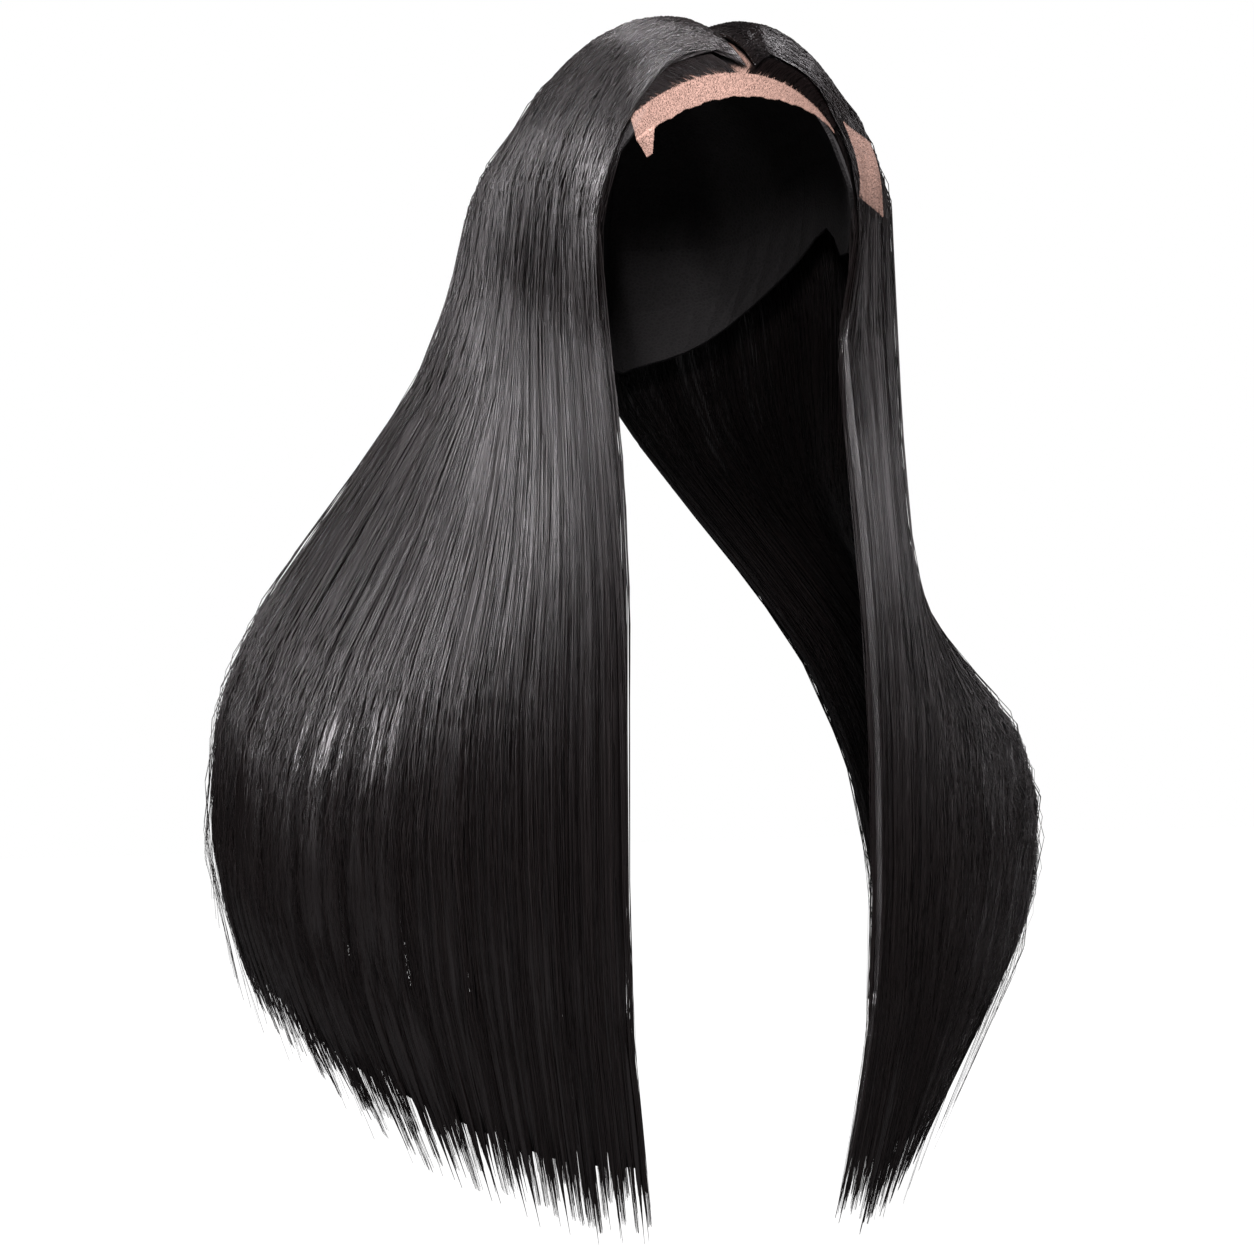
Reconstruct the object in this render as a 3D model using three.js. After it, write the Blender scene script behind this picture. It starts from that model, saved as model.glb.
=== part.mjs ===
// A long straight lace-closure wig, held in the shape that it has when worn.
// Millimetres, +Z up. The face looks along -Y and the wearer's left is +X.
// The origin is the crown of the head, on the inside of the cap.
import * as THREE from 'three';

// The head that the cap fits: half sizes of an ellipsoid round the ears.
const headHalfWidth = 77;
const headHalfDepth = 97;
const headCrownHeight = 93;

// Walls and the running clearance between pieces that touch.
const capWall = 1.5;
const laceWall = 1.0;
const seatGap = 0.3;
const tabWall = 1.0;
const facetSag = 0.25;

// How far the outer face of the hair stands off the head.
const crownLift = 16;
const sideLift = 12;
const frontLiftShare = 0.35;

// The hanging hair: from the crown to the longest tips, and half its spread.
const hairDrop = 545;
const fanHalfWidth = 200;
const fanHalfDepth = 100;

// The locks that the hair is gathered into.
const locksPerSide = 14;
const lockThickness = 10;
const rootThickness = 1.8;
const tipThickness = 2.4;
const tipWidthShare = 0.35;
const tipStagger = 12;
const lockGap = 0.4;

// The parting, in degrees of tilt from the crown: forward is negative.
const partFrontDeg = -43;
const partBackDeg = 40;
const partHalfGap = 2.5;
const partOffset = 5;

// The lace closure and the cap's opening under it, in degrees on the head.
const laceHalfSpanDeg = 34;
const laceBackDeg = 14;
const laceFrontDeg = -55;
const laceFrontDip = 4;
const closureSeamDeg = 4;
const capPoleDeg = -20;
const capEarTurn = 110;

// The two loose ends of the lace, lying on the hair at the temples.
const leftTabStart = 0.045;
const leftTabEnd = 0.145;
const leftTabTop = 45;
const leftTabBottom = 80;
const rightTabCentreDeg = -31;
const rightTabWidthDeg = 6;
const rightTabLengthDeg = 8;
const rightTabTipShare = 0.3;

// The hair stays clear of the cap down to this share of headCrownHeight.
const clearUntilDrop = 1.75;
const clearFadeDrop = 0.35;
const facetRoom = 0.7;
const thinnestHair = 1.2;

const headCentre = new THREE.Vector3(0, 0, -headCrownHeight);

// Where the hair passes beside the head. drop is a share of headCrownHeight,
// x and y are shares of the head's half sizes with sideLift on them.
const headRows = {
  right: [
    {
      drop: 1.18, front: [0.74, -0.48], cheek: [0.94, -0.2], side: [1.03, 0.15],
      rear: [0.92, 0.73], nape: [0, 1.01],
    },
    {
      drop: 1.66, front: [0.74, -0.55], cheek: [0.97, -0.25], side: [1.1, 0.18],
      rear: [1.07, 0.82], nape: [0.04, 1.03],
    },
  ],
  left: [
    {
      drop: 1.18, front: [0.74, -0.39], cheek: [1.1, -0.22], side: [1.12, 0.13],
      rear: [0.94, 0.72], nape: [0, 1.01],
    },
    {
      drop: 1.66, front: [0.75, -0.42], cheek: [1.12, -0.24], side: [1.15, 0.15],
      rear: [1.04, 0.8], nape: [0.04, 1.03],
    },
  ],
};

// Where it passes below the jaw. fall is a share of the way from the last
// head row to hairDrop, x and y are shares of the fan's half sizes.
const fanRows = {
  right: [
    {
      fall: 0.12, front: [0.32, -0.68], cheek: [0.444, -0.34], side: [0.601, 0.22],
      rear: [0.635, 0.98], nape: [0.202, 1.1],
    },
    {
      fall: 0.24, front: [0.31, -0.74], cheek: [0.475, -0.42], side: [0.705, 0.22],
      rear: [0.82, 0.98], nape: [0.395, 1.03],
    },
    {
      fall: 0.34, front: [0.305, -0.78], cheek: [0.513, -0.49], side: [0.822, 0.18],
      rear: [0.951, 0.95], nape: [0.535, 0.99],
    },
    {
      fall: 0.45, front: [0.305, -0.8], cheek: [0.543, -0.54], side: [0.918, 0.12],
      rear: [1.016, 0.94], nape: [0.643, 0.98],
    },
    {
      fall: 0.62, front: [0.305, -0.82], cheek: [0.546, -0.58], side: [0.964, 0.06],
      rear: [1.026, 0.9], nape: [0.723, 0.97],
    },
    {
      fall: 0.76, front: [0.3, -0.83], cheek: [0.528, -0.6], side: [0.909, 0.02],
      rear: [0.954, 0.83], nape: [0.702, 0.92],
    },
    {
      fall: 0.9, front: [0.27, -0.82], cheek: [0.488, -0.6], side: [0.788, -0.04],
      rear: [0.832, 0.71], nape: [0.661, 0.82],
    },
    {
      fall: 1.08, front: [0.23, -0.8], cheek: [0.418, -0.58], side: [0.618, -0.12],
      rear: [0.642, 0.54], nape: [0.571, 0.66],
    },
  ],
  left: [
    {
      fall: 0.12, front: [0.345, -0.54], cheek: [0.493, -0.34], side: [0.51, 0.18],
      rear: [0.545, 0.95], nape: [0.18, 1.1],
    },
    {
      fall: 0.24, front: [0.35, -0.62], cheek: [0.497, -0.43], side: [0.579, 0.16],
      rear: [0.695, 0.93], nape: [0.37, 1.03],
    },
    {
      fall: 0.34, front: [0.35, -0.68], cheek: [0.509, -0.52], side: [0.724, 0.09],
      rear: [0.845, 0.912], nape: [0.52, 0.99],
    },
    {
      fall: 0.45, front: [0.35, -0.72], cheek: [0.534, -0.56], side: [0.91, 0.01],
      rear: [0.958, 0.9], nape: [0.63, 0.98],
    },
    {
      fall: 0.62, front: [0.35, -0.74], cheek: [0.524, -0.6], side: [0.954, -0.03],
      rear: [0.995, 0.865], nape: [0.72, 0.97],
    },
    {
      fall: 0.76, front: [0.34, -0.75], cheek: [0.5, -0.61], side: [0.854, -0.07],
      rear: [0.925, 0.8], nape: [0.71, 0.92],
    },
    {
      fall: 0.9, front: [0.3, -0.75], cheek: [0.443, -0.6], side: [0.681, -0.15],
      rear: [0.79, 0.67], nape: [0.67, 0.82],
    },
    {
      fall: 1.08, front: [0.22, -0.73], cheek: [0.353, -0.56], side: [0.481, -0.24],
      rear: [0.62, 0.5], nape: [0.58, 0.66],
    },
  ],
};
const rowColumns = ['front', 'cheek', 'side', 'rear', 'nape'];
const columnPlaces = [0, 0.22, 0.5, 0.78, 1];

// How low the tips hang, as shares of hairDrop, from the face to the nape.
const tipRows = [
  { place: 0, right: 0.985, left: 0.985 },
  { place: 0.22, right: 0.975, left: 0.99 },
  { place: 0.5, right: 0.90, left: 0.92 },
  { place: 0.66, right: 0.83, left: 0.82 },
  { place: 0.82, right: 0.80, left: 0.79 },
  { place: 1, right: 0.88, left: 0.88 },
];

// The cap's lower edge: turn from the forehead, and its angle from the pole.
const rimRows = [
  { turn: 48, rim: 47 },
  { turn: 60, rim: 72 },
  { turn: 75, rim: 90 },
  { turn: 95, rim: 84 },
  { turn: 115, rim: 107 },
  { turn: 140, rim: 133 },
  { turn: 180, rim: 147 },
];

// The cap's four panels, sewn at the nape and over each ear.
const capPanels = [
  { name: 'cap_left_side', from: rimRows[0].turn, to: capEarTurn, columns: 8 },
  { name: 'cap_left_back', from: capEarTurn, to: 180, columns: 9 },
  { name: 'cap_right_back', from: 180, to: 360 - capEarTurn, columns: 9 },
  { name: 'cap_right_side', from: 360 - capEarTurn, to: 360 - rimRows[0].turn, columns: 8 },
];

const radians = Math.PI / 180;

function smoothStep(x) {
  const t = Math.min(1, Math.max(0, x));
  return t * t * (3 - 2 * t);
}

// A smooth curve through rows of numbers, at any place between them.
function curveAt(places, values, at) {
  const last = places.length - 1;
  let i = 0;
  while (i < last - 1 && at > places[i + 1]) {
    i += 1;
  }
  const slope = (a, b) => values[b].map((v, n) => (v - values[a][n]) / (places[b] - places[a]));
  const tangent = (k) => {
    if (k === 0) {
      return slope(0, 1);
    }
    if (k === last) {
      return slope(last - 1, last);
    }
    const before = slope(k - 1, k);
    const after = slope(k, k + 1);
    return before.map((v, n) => (v + after[n]) / 2);
  };
  const span = places[i + 1] - places[i];
  const t = (at - places[i]) / span;
  const start = tangent(i);
  const end = tangent(i + 1);
  return values[i].map((v, n) => (
    (2 * t ** 3 - 3 * t ** 2 + 1) * v
    + (t ** 3 - 2 * t ** 2 + t) * span * start[n]
    + (3 * t ** 2 - 2 * t ** 3) * values[i + 1][n]
    + (t ** 3 - t ** 2) * span * end[n]
  ));
}

// A direction on the head: across tilts it to the side, along to the back.
function headDirection(acrossDeg, alongDeg) {
  const a = acrossDeg * radians;
  const b = alongDeg * radians;
  return new THREE.Vector3(Math.sin(a), Math.sin(b) * Math.cos(a), Math.cos(b) * Math.cos(a));
}

// How far the head's surface, grown by three lifts, is along a direction.
function headReach(direction, sideGrow, topGrow) {
  const x = direction.x / (headHalfWidth + sideGrow);
  const y = direction.y / (headHalfDepth + sideGrow);
  const z = direction.z / (headCrownHeight + topGrow);
  return 1 / Math.sqrt(x * x + y * y + z * z);
}

function onHead(direction, grow) {
  return direction.clone().multiplyScalar(headReach(direction, grow, grow)).add(headCentre);
}

// The points where a strand passes the head rows and the fan rows.
function hangingPoints(sideName, place) {
  const sign = sideName === 'left' ? 1 : -1;
  const across = (row) => curveAt(columnPlaces, rowColumns.map((name) => row[name]), place);
  const jawDrop = headRows[sideName].at(-1).drop * headCrownHeight;
  const beside = headRows[sideName].map((row) => {
    const [x, y] = across(row);
    return [
      sign * x * (headHalfWidth + sideLift),
      y * (headHalfDepth + sideLift),
      -row.drop * headCrownHeight,
    ];
  });
  const below = fanRows[sideName].map((row) => {
    const [x, y] = across(row);
    return [
      sign * x * fanHalfWidth,
      y * fanHalfDepth,
      -jawDrop - row.fall * (hairDrop - jawDrop),
    ];
  });
  return [...beside, ...below];
}

// The points of a strand from the parting over the head, then hanging.
function strandPoints(sideName, place) {
  const sign = sideName === 'left' ? 1 : -1;
  const hanging = hangingPoints(sideName, place);
  const tilt = partFrontDeg + (partBackDeg - partFrontDeg) * place;
  const rootLift = capWall + seatGap + laceWall + seatGap + rootThickness;
  const rootShift = partOffset * smoothStep((partBackDeg - 10 - tilt) / 60);
  const gapDeg = partHalfGap / headCrownHeight / radians;
  const rootDirection = headDirection(sign * gapDeg * (1 - smoothStep((place - 0.85) / 0.15)), tilt);
  const landing = new THREE.Vector3(...hanging[0]).sub(headCentre);
  const landingReach = landing.length();
  landing.divideScalar(landingReach);
  const turn = rootDirection.angleTo(landing);
  const fullness = frontLiftShare + (1 - frontLiftShare) * smoothStep(place / 0.15);
  const bulge = landingReach / headReach(landing, sideLift * fullness, crownLift * fullness);
  const sweep = 0.38 * Math.exp(-((place / 0.3) ** 2));
  const over = [0, 0.06, 0.17, 0.42, 0.74].map((share) => {
    const direction = rootDirection.clone().multiplyScalar(Math.sin((1 - share) * turn) / Math.sin(turn));
    direction.addScaledVector(landing, Math.sin(share * turn) / Math.sin(turn));
    const lift = sweep * Math.sin(Math.PI * share ** 0.75);
    direction.add(new THREE.Vector3(0, 0.45 * lift, lift)).normalize();
    const rise = smoothStep(share / 0.1) * fullness;
    const reach = headReach(
      direction,
      rootLift + (sideLift - rootLift) * rise,
      rootLift + (crownLift - rootLift) * rise,
    );
    const point = direction.multiplyScalar(reach * (1 + (bulge - 1) * smoothStep((share - 0.4) / 0.6)));
    point.add(headCentre);
    point.x += rootShift * (1 - share);
    return point.toArray();
  });
  return [...over, ...hanging];
}

// The outer face of the hair: place runs from the face to the nape and
// share from the root to the tip.
const strandCache = new Map();
function strand(sideName, place) {
  const key = `${sideName} ${place.toFixed(6)}`;
  if (!strandCache.has(key)) {
    const points = strandPoints(sideName, place);
    const reached = [0];
    for (let i = 1; i < points.length; i += 1) {
      const step = Math.hypot(...points[i].map((v, n) => v - points[i - 1][n]));
      reached.push(reached[i - 1] + step);
    }
    const tipShares = tipRows.map((row) => [row[sideName]]);
    const tipDrop = curveAt(tipRows.map((row) => row.place), tipShares, place)[0] * hairDrop;
    let low = reached[4];
    let high = reached.at(-1);
    for (let i = 0; i < 40; i += 1) {
      const middle = (low + high) / 2;
      if (-curveAt(reached, points, middle)[2] < tipDrop) {
        low = middle;
      } else {
        high = middle;
      }
    }
    strandCache.set(key, { points, reached, length: low });
  }
  return strandCache.get(key);
}

function hairPoint(sideName, place, share) {
  const { points, reached, length } = strand(sideName, place);
  return new THREE.Vector3(...curveAt(reached, points, share * length));
}

function hairNormal(sideName, place, share) {
  const step = 0.004;
  const a = hairPoint(sideName, Math.max(0, place - step), share);
  const b = hairPoint(sideName, Math.min(1, place + step), share);
  const c = hairPoint(sideName, place, Math.max(0, share - step));
  const d = hairPoint(sideName, place, Math.min(1, share + step));
  const normal = b.sub(a).cross(d.sub(c)).normalize();
  return sideName === 'left' ? normal.negate() : normal;
}

// Moves a point out along its ray, where it lies nearer the head than lift.
// The rule fades out below the cap, where the hair hangs free.
function keepOffHead(point, lift) {
  const fade = smoothStep((point.z + clearUntilDrop * headCrownHeight) / (clearFadeDrop * headCrownHeight));
  const kept = lift * fade - (1 - fade) * headHalfWidth / 2;
  const direction = point.clone().sub(headCentre);
  const distance = direction.length();
  direction.divideScalar(distance);
  const reach = Math.max(distance, headReach(direction, kept, kept));
  return point.copy(direction.multiplyScalar(reach).add(headCentre));
}

// One closed mesh from rings of points of equal number, capped at both ends.
// Every strip is split on the same diagonal, so neighbours match.
function loftRings(rings, flip) {
  const count = rings[0].length;
  const positions = rings.flat().flatMap((p) => p.toArray());
  const faces = [];
  for (let r = 0; r < rings.length - 1; r += 1) {
    for (let i = 0; i < count; i += 1) {
      const j = (i + 1) % count;
      const a = r * count + i;
      const b = r * count + j;
      const c = a + count;
      const d = b + count;
      const descending = i < count / 2;
      if (descending) {
        faces.push([a, b, d], [a, d, c]);
      } else {
        faces.push([a, b, c], [b, d, c]);
      }
    }
  }
  const end = (rings.length - 1) * count;
  for (let i = 1; i < count - 1; i += 1) {
    faces.push([0, i + 1, i]);
    faces.push([end, end + i, end + i + 1]);
  }
  const turned = flip ? faces.map(([a, b, c]) => [a, c, b]) : faces;
  const geometry = new THREE.BufferGeometry();
  geometry.setAttribute('position', new THREE.Float32BufferAttribute(positions, 3));
  geometry.setIndex(turned.flat());
  geometry.computeVertexNormals();
  return geometry;
}

// A sheet of cloth from two faces of a grid, outer and inner, closed round.
function sheetShell(columns, rows, outerAt, innerAt, flip) {
  const positions = [];
  const index = (layer, i, j) => layer * (columns + 1) * (rows + 1) + i * (rows + 1) + j;
  for (const at of [outerAt, innerAt]) {
    for (let i = 0; i <= columns; i += 1) {
      for (let j = 0; j <= rows; j += 1) {
        positions.push(...at(i / columns, j / rows).toArray());
      }
    }
  }
  const faces = [];
  const quad = (a, b, c, d) => faces.push([a, b, c], [a, c, d]);
  for (let i = 0; i < columns; i += 1) {
    for (let j = 0; j < rows; j += 1) {
      quad(index(0, i, j), index(0, i, j + 1), index(0, i + 1, j + 1), index(0, i + 1, j));
      quad(index(1, i, j), index(1, i + 1, j), index(1, i + 1, j + 1), index(1, i, j + 1));
    }
    quad(index(0, i, 0), index(0, i + 1, 0), index(1, i + 1, 0), index(1, i, 0));
    quad(index(0, i, rows), index(1, i, rows), index(1, i + 1, rows), index(0, i + 1, rows));
  }
  for (let j = 0; j < rows; j += 1) {
    quad(index(0, 0, j), index(1, 0, j), index(1, 0, j + 1), index(0, 0, j + 1));
    quad(index(0, columns, j), index(0, columns, j + 1), index(1, columns, j + 1), index(1, columns, j));
  }
  const turned = flip ? faces.map(([a, b, c]) => [a, c, b]) : faces;
  const geometry = new THREE.BufferGeometry();
  geometry.setAttribute('position', new THREE.Float32BufferAttribute(positions, 3));
  geometry.setIndex(turned.flat());
  geometry.computeVertexNormals();
  return geometry;
}

// The places along a lock where it has a ring of points.
const ringShares = [
  0, 0.03, 0.07, 0.12, 0.17, 0.22, 0.28, 0.34, 0.40, 0.46,
  0.52, 0.58, 0.64, 0.70, 0.76, 0.82, 0.88, 0.94, 1,
];
const taperStart = 0.86;

// A lock's section, as shares of its width and of its thickness.
const lockSection = [
  { across: 0, depth: 0.22 },
  { across: 0.25, depth: 0 },
  { across: 0.75, depth: 0 },
  { across: 1, depth: 0.22 },
  { across: 1, depth: 0.6 },
  { across: 0.75, depth: 1 },
  { across: 0.25, depth: 1 },
  { across: 0, depth: 0.6 },
];

function lockGeometry(sideName, number) {
  const from = number / locksPerSide;
  const to = (number + 1) / locksPerSide;
  const sign = sideName === 'left' ? 1 : -1;
  const innermost = capWall + laceWall + 2 * seatGap + facetRoom;
  const shorter = tipStagger * (0.5 - 0.5 * Math.cos(number * 2.4)) / hairDrop;
  const rings = ringShares.map((ringShare) => {
    const taper = smoothStep((ringShare - taperStart) / (1 - taperStart));
    const share = ringShare - shorter * taper;
    const filling = smoothStep(ringShare / 0.16);
    const body = rootThickness + (lockThickness - rootThickness) * filling;
    const beside = smoothStep((ringShare - 0.16) / 0.2);
    const headRoom = rootThickness + (sideLift - capWall - laceWall - 2 * seatGap - rootThickness) * filling;
    const hanging = Math.min(body, headRoom) * (1 - beside) + lockThickness * beside;
    const thickness = hanging * (1 - taper) + tipThickness * taper;
    const narrow = 1 - (1 - tipWidthShare) * taper;
    return lockSection.map(({ across, depth }) => {
      const place = from + (to - from) * (0.5 + (across - 0.5) * narrow);
      const normal = hairNormal(sideName, place, share);
      const point = hairPoint(sideName, place, share);
      const inward = hairPoint(sideName, (from + to) / 2, share).sub(point);
      if (across === 0 || across === 1) {
        point.addScaledVector(inward.normalize(), lockGap / 2);
      }
      const frontRoom = 0.5 + 0.5 * smoothStep(place / 0.15 + beside);
      point.addScaledVector(normal, -depth * thickness * frontRoom);
      keepOffHead(point, innermost + (1 - depth) * thinnestHair);
      if (to > 0.99 && across > 0.9) {
        point.x = sign * Math.max(sign * point.x, lockGap / 2);
      }
      return point;
    });
  });
  return loftRings(rings, sideName === 'left');
}

// The cap: four panels in a C round the closure's opening, open at the face.
const capPole = headDirection(0, capPoleDeg);
const capForward = headDirection(0, capPoleDeg - 90);
function capDirection(turnDeg, rimDeg) {
  const turn = turnDeg * radians;
  const rim = rimDeg * radians;
  const direction = capPole.clone().multiplyScalar(Math.cos(rim));
  direction.addScaledVector(capForward, Math.sin(rim) * Math.cos(turn));
  direction.x += Math.sin(rim) * Math.sin(turn);
  return direction;
}

// The closure's sewn edge, an oval with square shoulders round the pole.
function closureEdgeDeg(turnDeg) {
  const halfSpan = laceHalfSpanDeg - closureSeamDeg;
  const back = laceBackDeg - capPoleDeg - closureSeamDeg;
  const x = Math.abs(Math.sin(turnDeg * radians)) / halfSpan;
  const y = Math.abs(Math.cos(turnDeg * radians)) / back;
  return (x ** 4 + y ** 4) ** -0.25;
}

function capPanelGeometry(fromTurn, toTurn, columns) {
  const turns = rimRows.map((row) => row.turn);
  const rims = rimRows.map((row) => [row.rim]);
  const seam = seatGap / headHalfWidth / radians;
  const at = (grow) => (i, j) => {
    const turn = fromTurn + seam / 2 + (toTurn - fromTurn - seam) * i;
    const folded = turn > 180 ? 360 - turn : turn;
    const outer = curveAt(turns, rims, folded)[0];
    const inner = closureEdgeDeg(folded);
    return onHead(capDirection(turn, inner + (outer - inner) * j), grow);
  };
  return sheetShell(columns, 6, at(capWall), at(0), false);
}

// The lace closure: a patch on the front of the head, with a bare front band.
function laceFrontAt(acrossDeg) {
  return laceFrontDeg - laceFrontDip * (acrossDeg / 25) ** 2 * (acrossDeg < 0 ? 1 : -0.3);
}

function laceGeometry() {
  const floor = capWall + facetSag + seatGap;
  const at = (grow) => (i, j) => {
    const across = laceHalfSpanDeg * (2 * i - 1);
    const front = laceFrontAt(across);
    return onHead(headDirection(across, front + (laceBackDeg - front) * j), grow);
  };
  return sheetShell(14, 9, at(floor + laceWall), at(floor), true);
}

// The right loose end: a flap folded down off the closure's front corner.
function rightTabGeometry() {
  const floor = capWall + facetSag + seatGap;
  const gapDeg = seatGap / headHalfDepth / radians;
  const at = (grow) => (i, j) => {
    const narrow = 1 - (1 - rightTabTipShare) * j;
    const across = rightTabCentreDeg + rightTabWidthDeg * (i - 0.5) * narrow;
    const along = laceFrontAt(across) - gapDeg - rightTabLengthDeg * j;
    return onHead(headDirection(across, along), grow);
  };
  return sheetShell(3, 4, at(floor + tabWall), at(floor), false);
}

// The left loose end: a strip that lies back over the front lock.
function leftTabGeometry() {
  const shareAtDrop = (place, drop) => {
    let low = 0;
    let high = 0.5;
    for (let i = 0; i < 30; i += 1) {
      const middle = (low + high) / 2;
      if (-hairPoint('left', place, middle).z < drop) {
        low = middle;
      } else {
        high = middle;
      }
    }
    return low;
  };
  const at = (grow) => (i, j) => {
    const place = leftTabStart + (leftTabEnd - leftTabStart) * i;
    const share = shareAtDrop(place, leftTabTop + (leftTabBottom - leftTabTop) * j);
    const point = hairPoint('left', place, share);
    return point.addScaledVector(hairNormal('left', place, share), grow);
  };
  return sheetShell(4, 6, at(seatGap * 2 + tabWall), at(seatGap * 2), false);
}

const blackHair = new THREE.MeshStandardMaterial({ color: 0x17140f, roughness: 0.42, metalness: 0 });
const blackNet = new THREE.MeshStandardMaterial({ color: 0x1a1716, roughness: 0.85, metalness: 0 });
const skinLace = new THREE.MeshStandardMaterial({ color: 0xc9a18a, roughness: 0.8, metalness: 0 });

function part(name, geometry, material) {
  const mesh = new THREE.Mesh(geometry, material);
  mesh.name = name;
  return mesh;
}

const wig = new THREE.Group();
wig.name = 'wig';
for (const { name, from, to, columns } of capPanels) {
  wig.add(part(name, capPanelGeometry(from, to, columns), blackNet));
}
wig.add(part('lace_closure', laceGeometry(), skinLace));
wig.add(part('lace_tab_right', rightTabGeometry(), skinLace));
wig.add(part('lace_tab_left', leftTabGeometry(), skinLace));
for (const sideName of ['right', 'left']) {
  const half = new THREE.Group();
  half.name = `${sideName}_hair`;
  for (let number = 0; number < locksPerSide; number += 1) {
    const label = String(number + 1).padStart(2, '0');
    half.add(part(`${sideName}_lock_${label}`, lockGeometry(sideName, number), blackHair));
  }
  wig.add(half);
}

export default wig;
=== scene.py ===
# %% [markdown]
# A long, straight lace closure wig, dressed strand by strand.
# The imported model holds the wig's true shape: a cap, a patch of lace, two loose
# ends of lace and twenty-eight locks of hair. This script keeps that shape and
# gives every piece its real surface, so it starts by loading the model.

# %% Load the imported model
import math

import bmesh
import bpy
import numpy as np
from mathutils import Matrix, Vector


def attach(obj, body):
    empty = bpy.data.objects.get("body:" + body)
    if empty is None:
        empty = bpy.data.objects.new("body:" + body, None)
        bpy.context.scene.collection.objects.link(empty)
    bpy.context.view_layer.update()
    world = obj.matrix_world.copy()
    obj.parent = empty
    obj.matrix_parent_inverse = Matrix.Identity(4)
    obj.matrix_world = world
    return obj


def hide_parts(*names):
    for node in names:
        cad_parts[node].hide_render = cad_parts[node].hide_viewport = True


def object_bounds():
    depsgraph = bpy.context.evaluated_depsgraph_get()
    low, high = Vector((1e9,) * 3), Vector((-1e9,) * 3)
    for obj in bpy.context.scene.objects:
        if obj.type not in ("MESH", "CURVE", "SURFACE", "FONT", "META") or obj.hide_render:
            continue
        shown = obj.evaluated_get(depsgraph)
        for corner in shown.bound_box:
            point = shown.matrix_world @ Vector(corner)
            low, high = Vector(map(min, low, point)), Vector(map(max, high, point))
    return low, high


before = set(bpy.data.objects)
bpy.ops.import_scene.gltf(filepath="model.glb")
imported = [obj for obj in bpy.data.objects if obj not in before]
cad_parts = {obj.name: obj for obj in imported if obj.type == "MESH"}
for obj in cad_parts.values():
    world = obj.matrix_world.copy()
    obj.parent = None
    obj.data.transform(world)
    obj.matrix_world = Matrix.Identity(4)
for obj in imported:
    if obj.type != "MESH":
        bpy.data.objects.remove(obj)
cad_box = [list(corner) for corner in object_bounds()]
print("the packed wig fills", [[round(v, 3) for v in corner] for corner in cad_box])

# %% [markdown]
# The camera comes first, because every later choice is judged through it. The
# wig is seen from the wearer's right front, from about chest height, with a
# portrait lens. The lens is worked out from how much of the scene the frame
# takes in at the distance of the head.

# %% Camera
CAMERA_TURN = math.radians(-22.0)
CAMERA_DISTANCE = 1.60
FRAME_WIDTH = 0.597
FRAME_CENTRE_ACROSS = -0.0267
FRAME_CENTRE_HEIGHT = -0.277

towards_camera = Vector((math.sin(CAMERA_TURN), -math.cos(CAMERA_TURN), 0.0))
camera_right = Vector((math.cos(CAMERA_TURN), math.sin(CAMERA_TURN), 0.0))
aim = camera_right * FRAME_CENTRE_ACROSS + Vector((0.0, 0.0, FRAME_CENTRE_HEIGHT))

camera_data = bpy.data.cameras.new("camera")
camera_data.sensor_width = 36.0
camera_data.lens = camera_data.sensor_width * CAMERA_DISTANCE / FRAME_WIDTH
camera = bpy.data.objects.new("camera", camera_data)
camera.location = aim + towards_camera * CAMERA_DISTANCE
camera.rotation_euler = (-towards_camera).to_track_quat("-Z", "Y").to_euler()
bpy.context.scene.collection.objects.link(camera)
bpy.context.scene.camera = camera
print("lens", round(camera_data.lens, 1), "mm, camera at", [round(v, 3) for v in camera.location])

# %% [markdown]
# The hair is one flowing sheet on each side of the parting. It is described the
# way a wig maker thinks of it: the head it sits on, how far the hair stands off
# it, and where the hair passes at each height, from the face round to the nape.
# The tables hold shares of the sizes above them, so one size can change alone.

# %% Sizes of the head, the lace and the hair
HEAD_HALF_WIDTH = 0.077
HEAD_HALF_DEPTH = 0.097
HEAD_CROWN_HEIGHT = 0.093
CAP_WALL = 0.0015
LACE_WALL = 0.001
SEAT_GAP = 0.0003
FACET_SAG = 0.00025
CROWN_LIFT = 0.016
SIDE_LIFT = 0.012
FRONT_LIFT_SHARE = 0.35
HAIR_DROP = 0.545
FAN_HALF_WIDTH = 0.2
FAN_HALF_DEPTH = 0.1
LOCKS_PER_SIDE = 14
LOCK_THICKNESS = 0.01
ROOT_THICKNESS = 0.0018
THINNEST_HAIR = 0.0012
PART_FRONT_DEG = -43
PART_BACK_DEG = 40
PART_HALF_GAP = 0.0025
PART_OFFSET = 0.005
HEAD_CENTRE = np.array([0.0, 0.0, -HEAD_CROWN_HEIGHT])

COLUMN_PLACES = [0, 0.22, 0.5, 0.78, 1]

# drop, then x and y of the face edge, cheek, side, rear and nape
HEAD_ROWS = {
    "right": [
        (1.18, 0.74, -0.48, 0.94, -0.20, 1.03, 0.15, 0.92, 0.73, 0.00, 1.01),
        (1.66, 0.74, -0.55, 0.97, -0.25, 1.10, 0.18, 1.07, 0.82, 0.04, 1.03),
    ],
    "left": [
        (1.18, 0.74, -0.39, 1.10, -0.22, 1.12, 0.13, 0.94, 0.72, 0.00, 1.01),
        (1.66, 0.75, -0.42, 1.12, -0.24, 1.15, 0.15, 1.04, 0.80, 0.04, 1.03),
    ],
}

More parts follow.
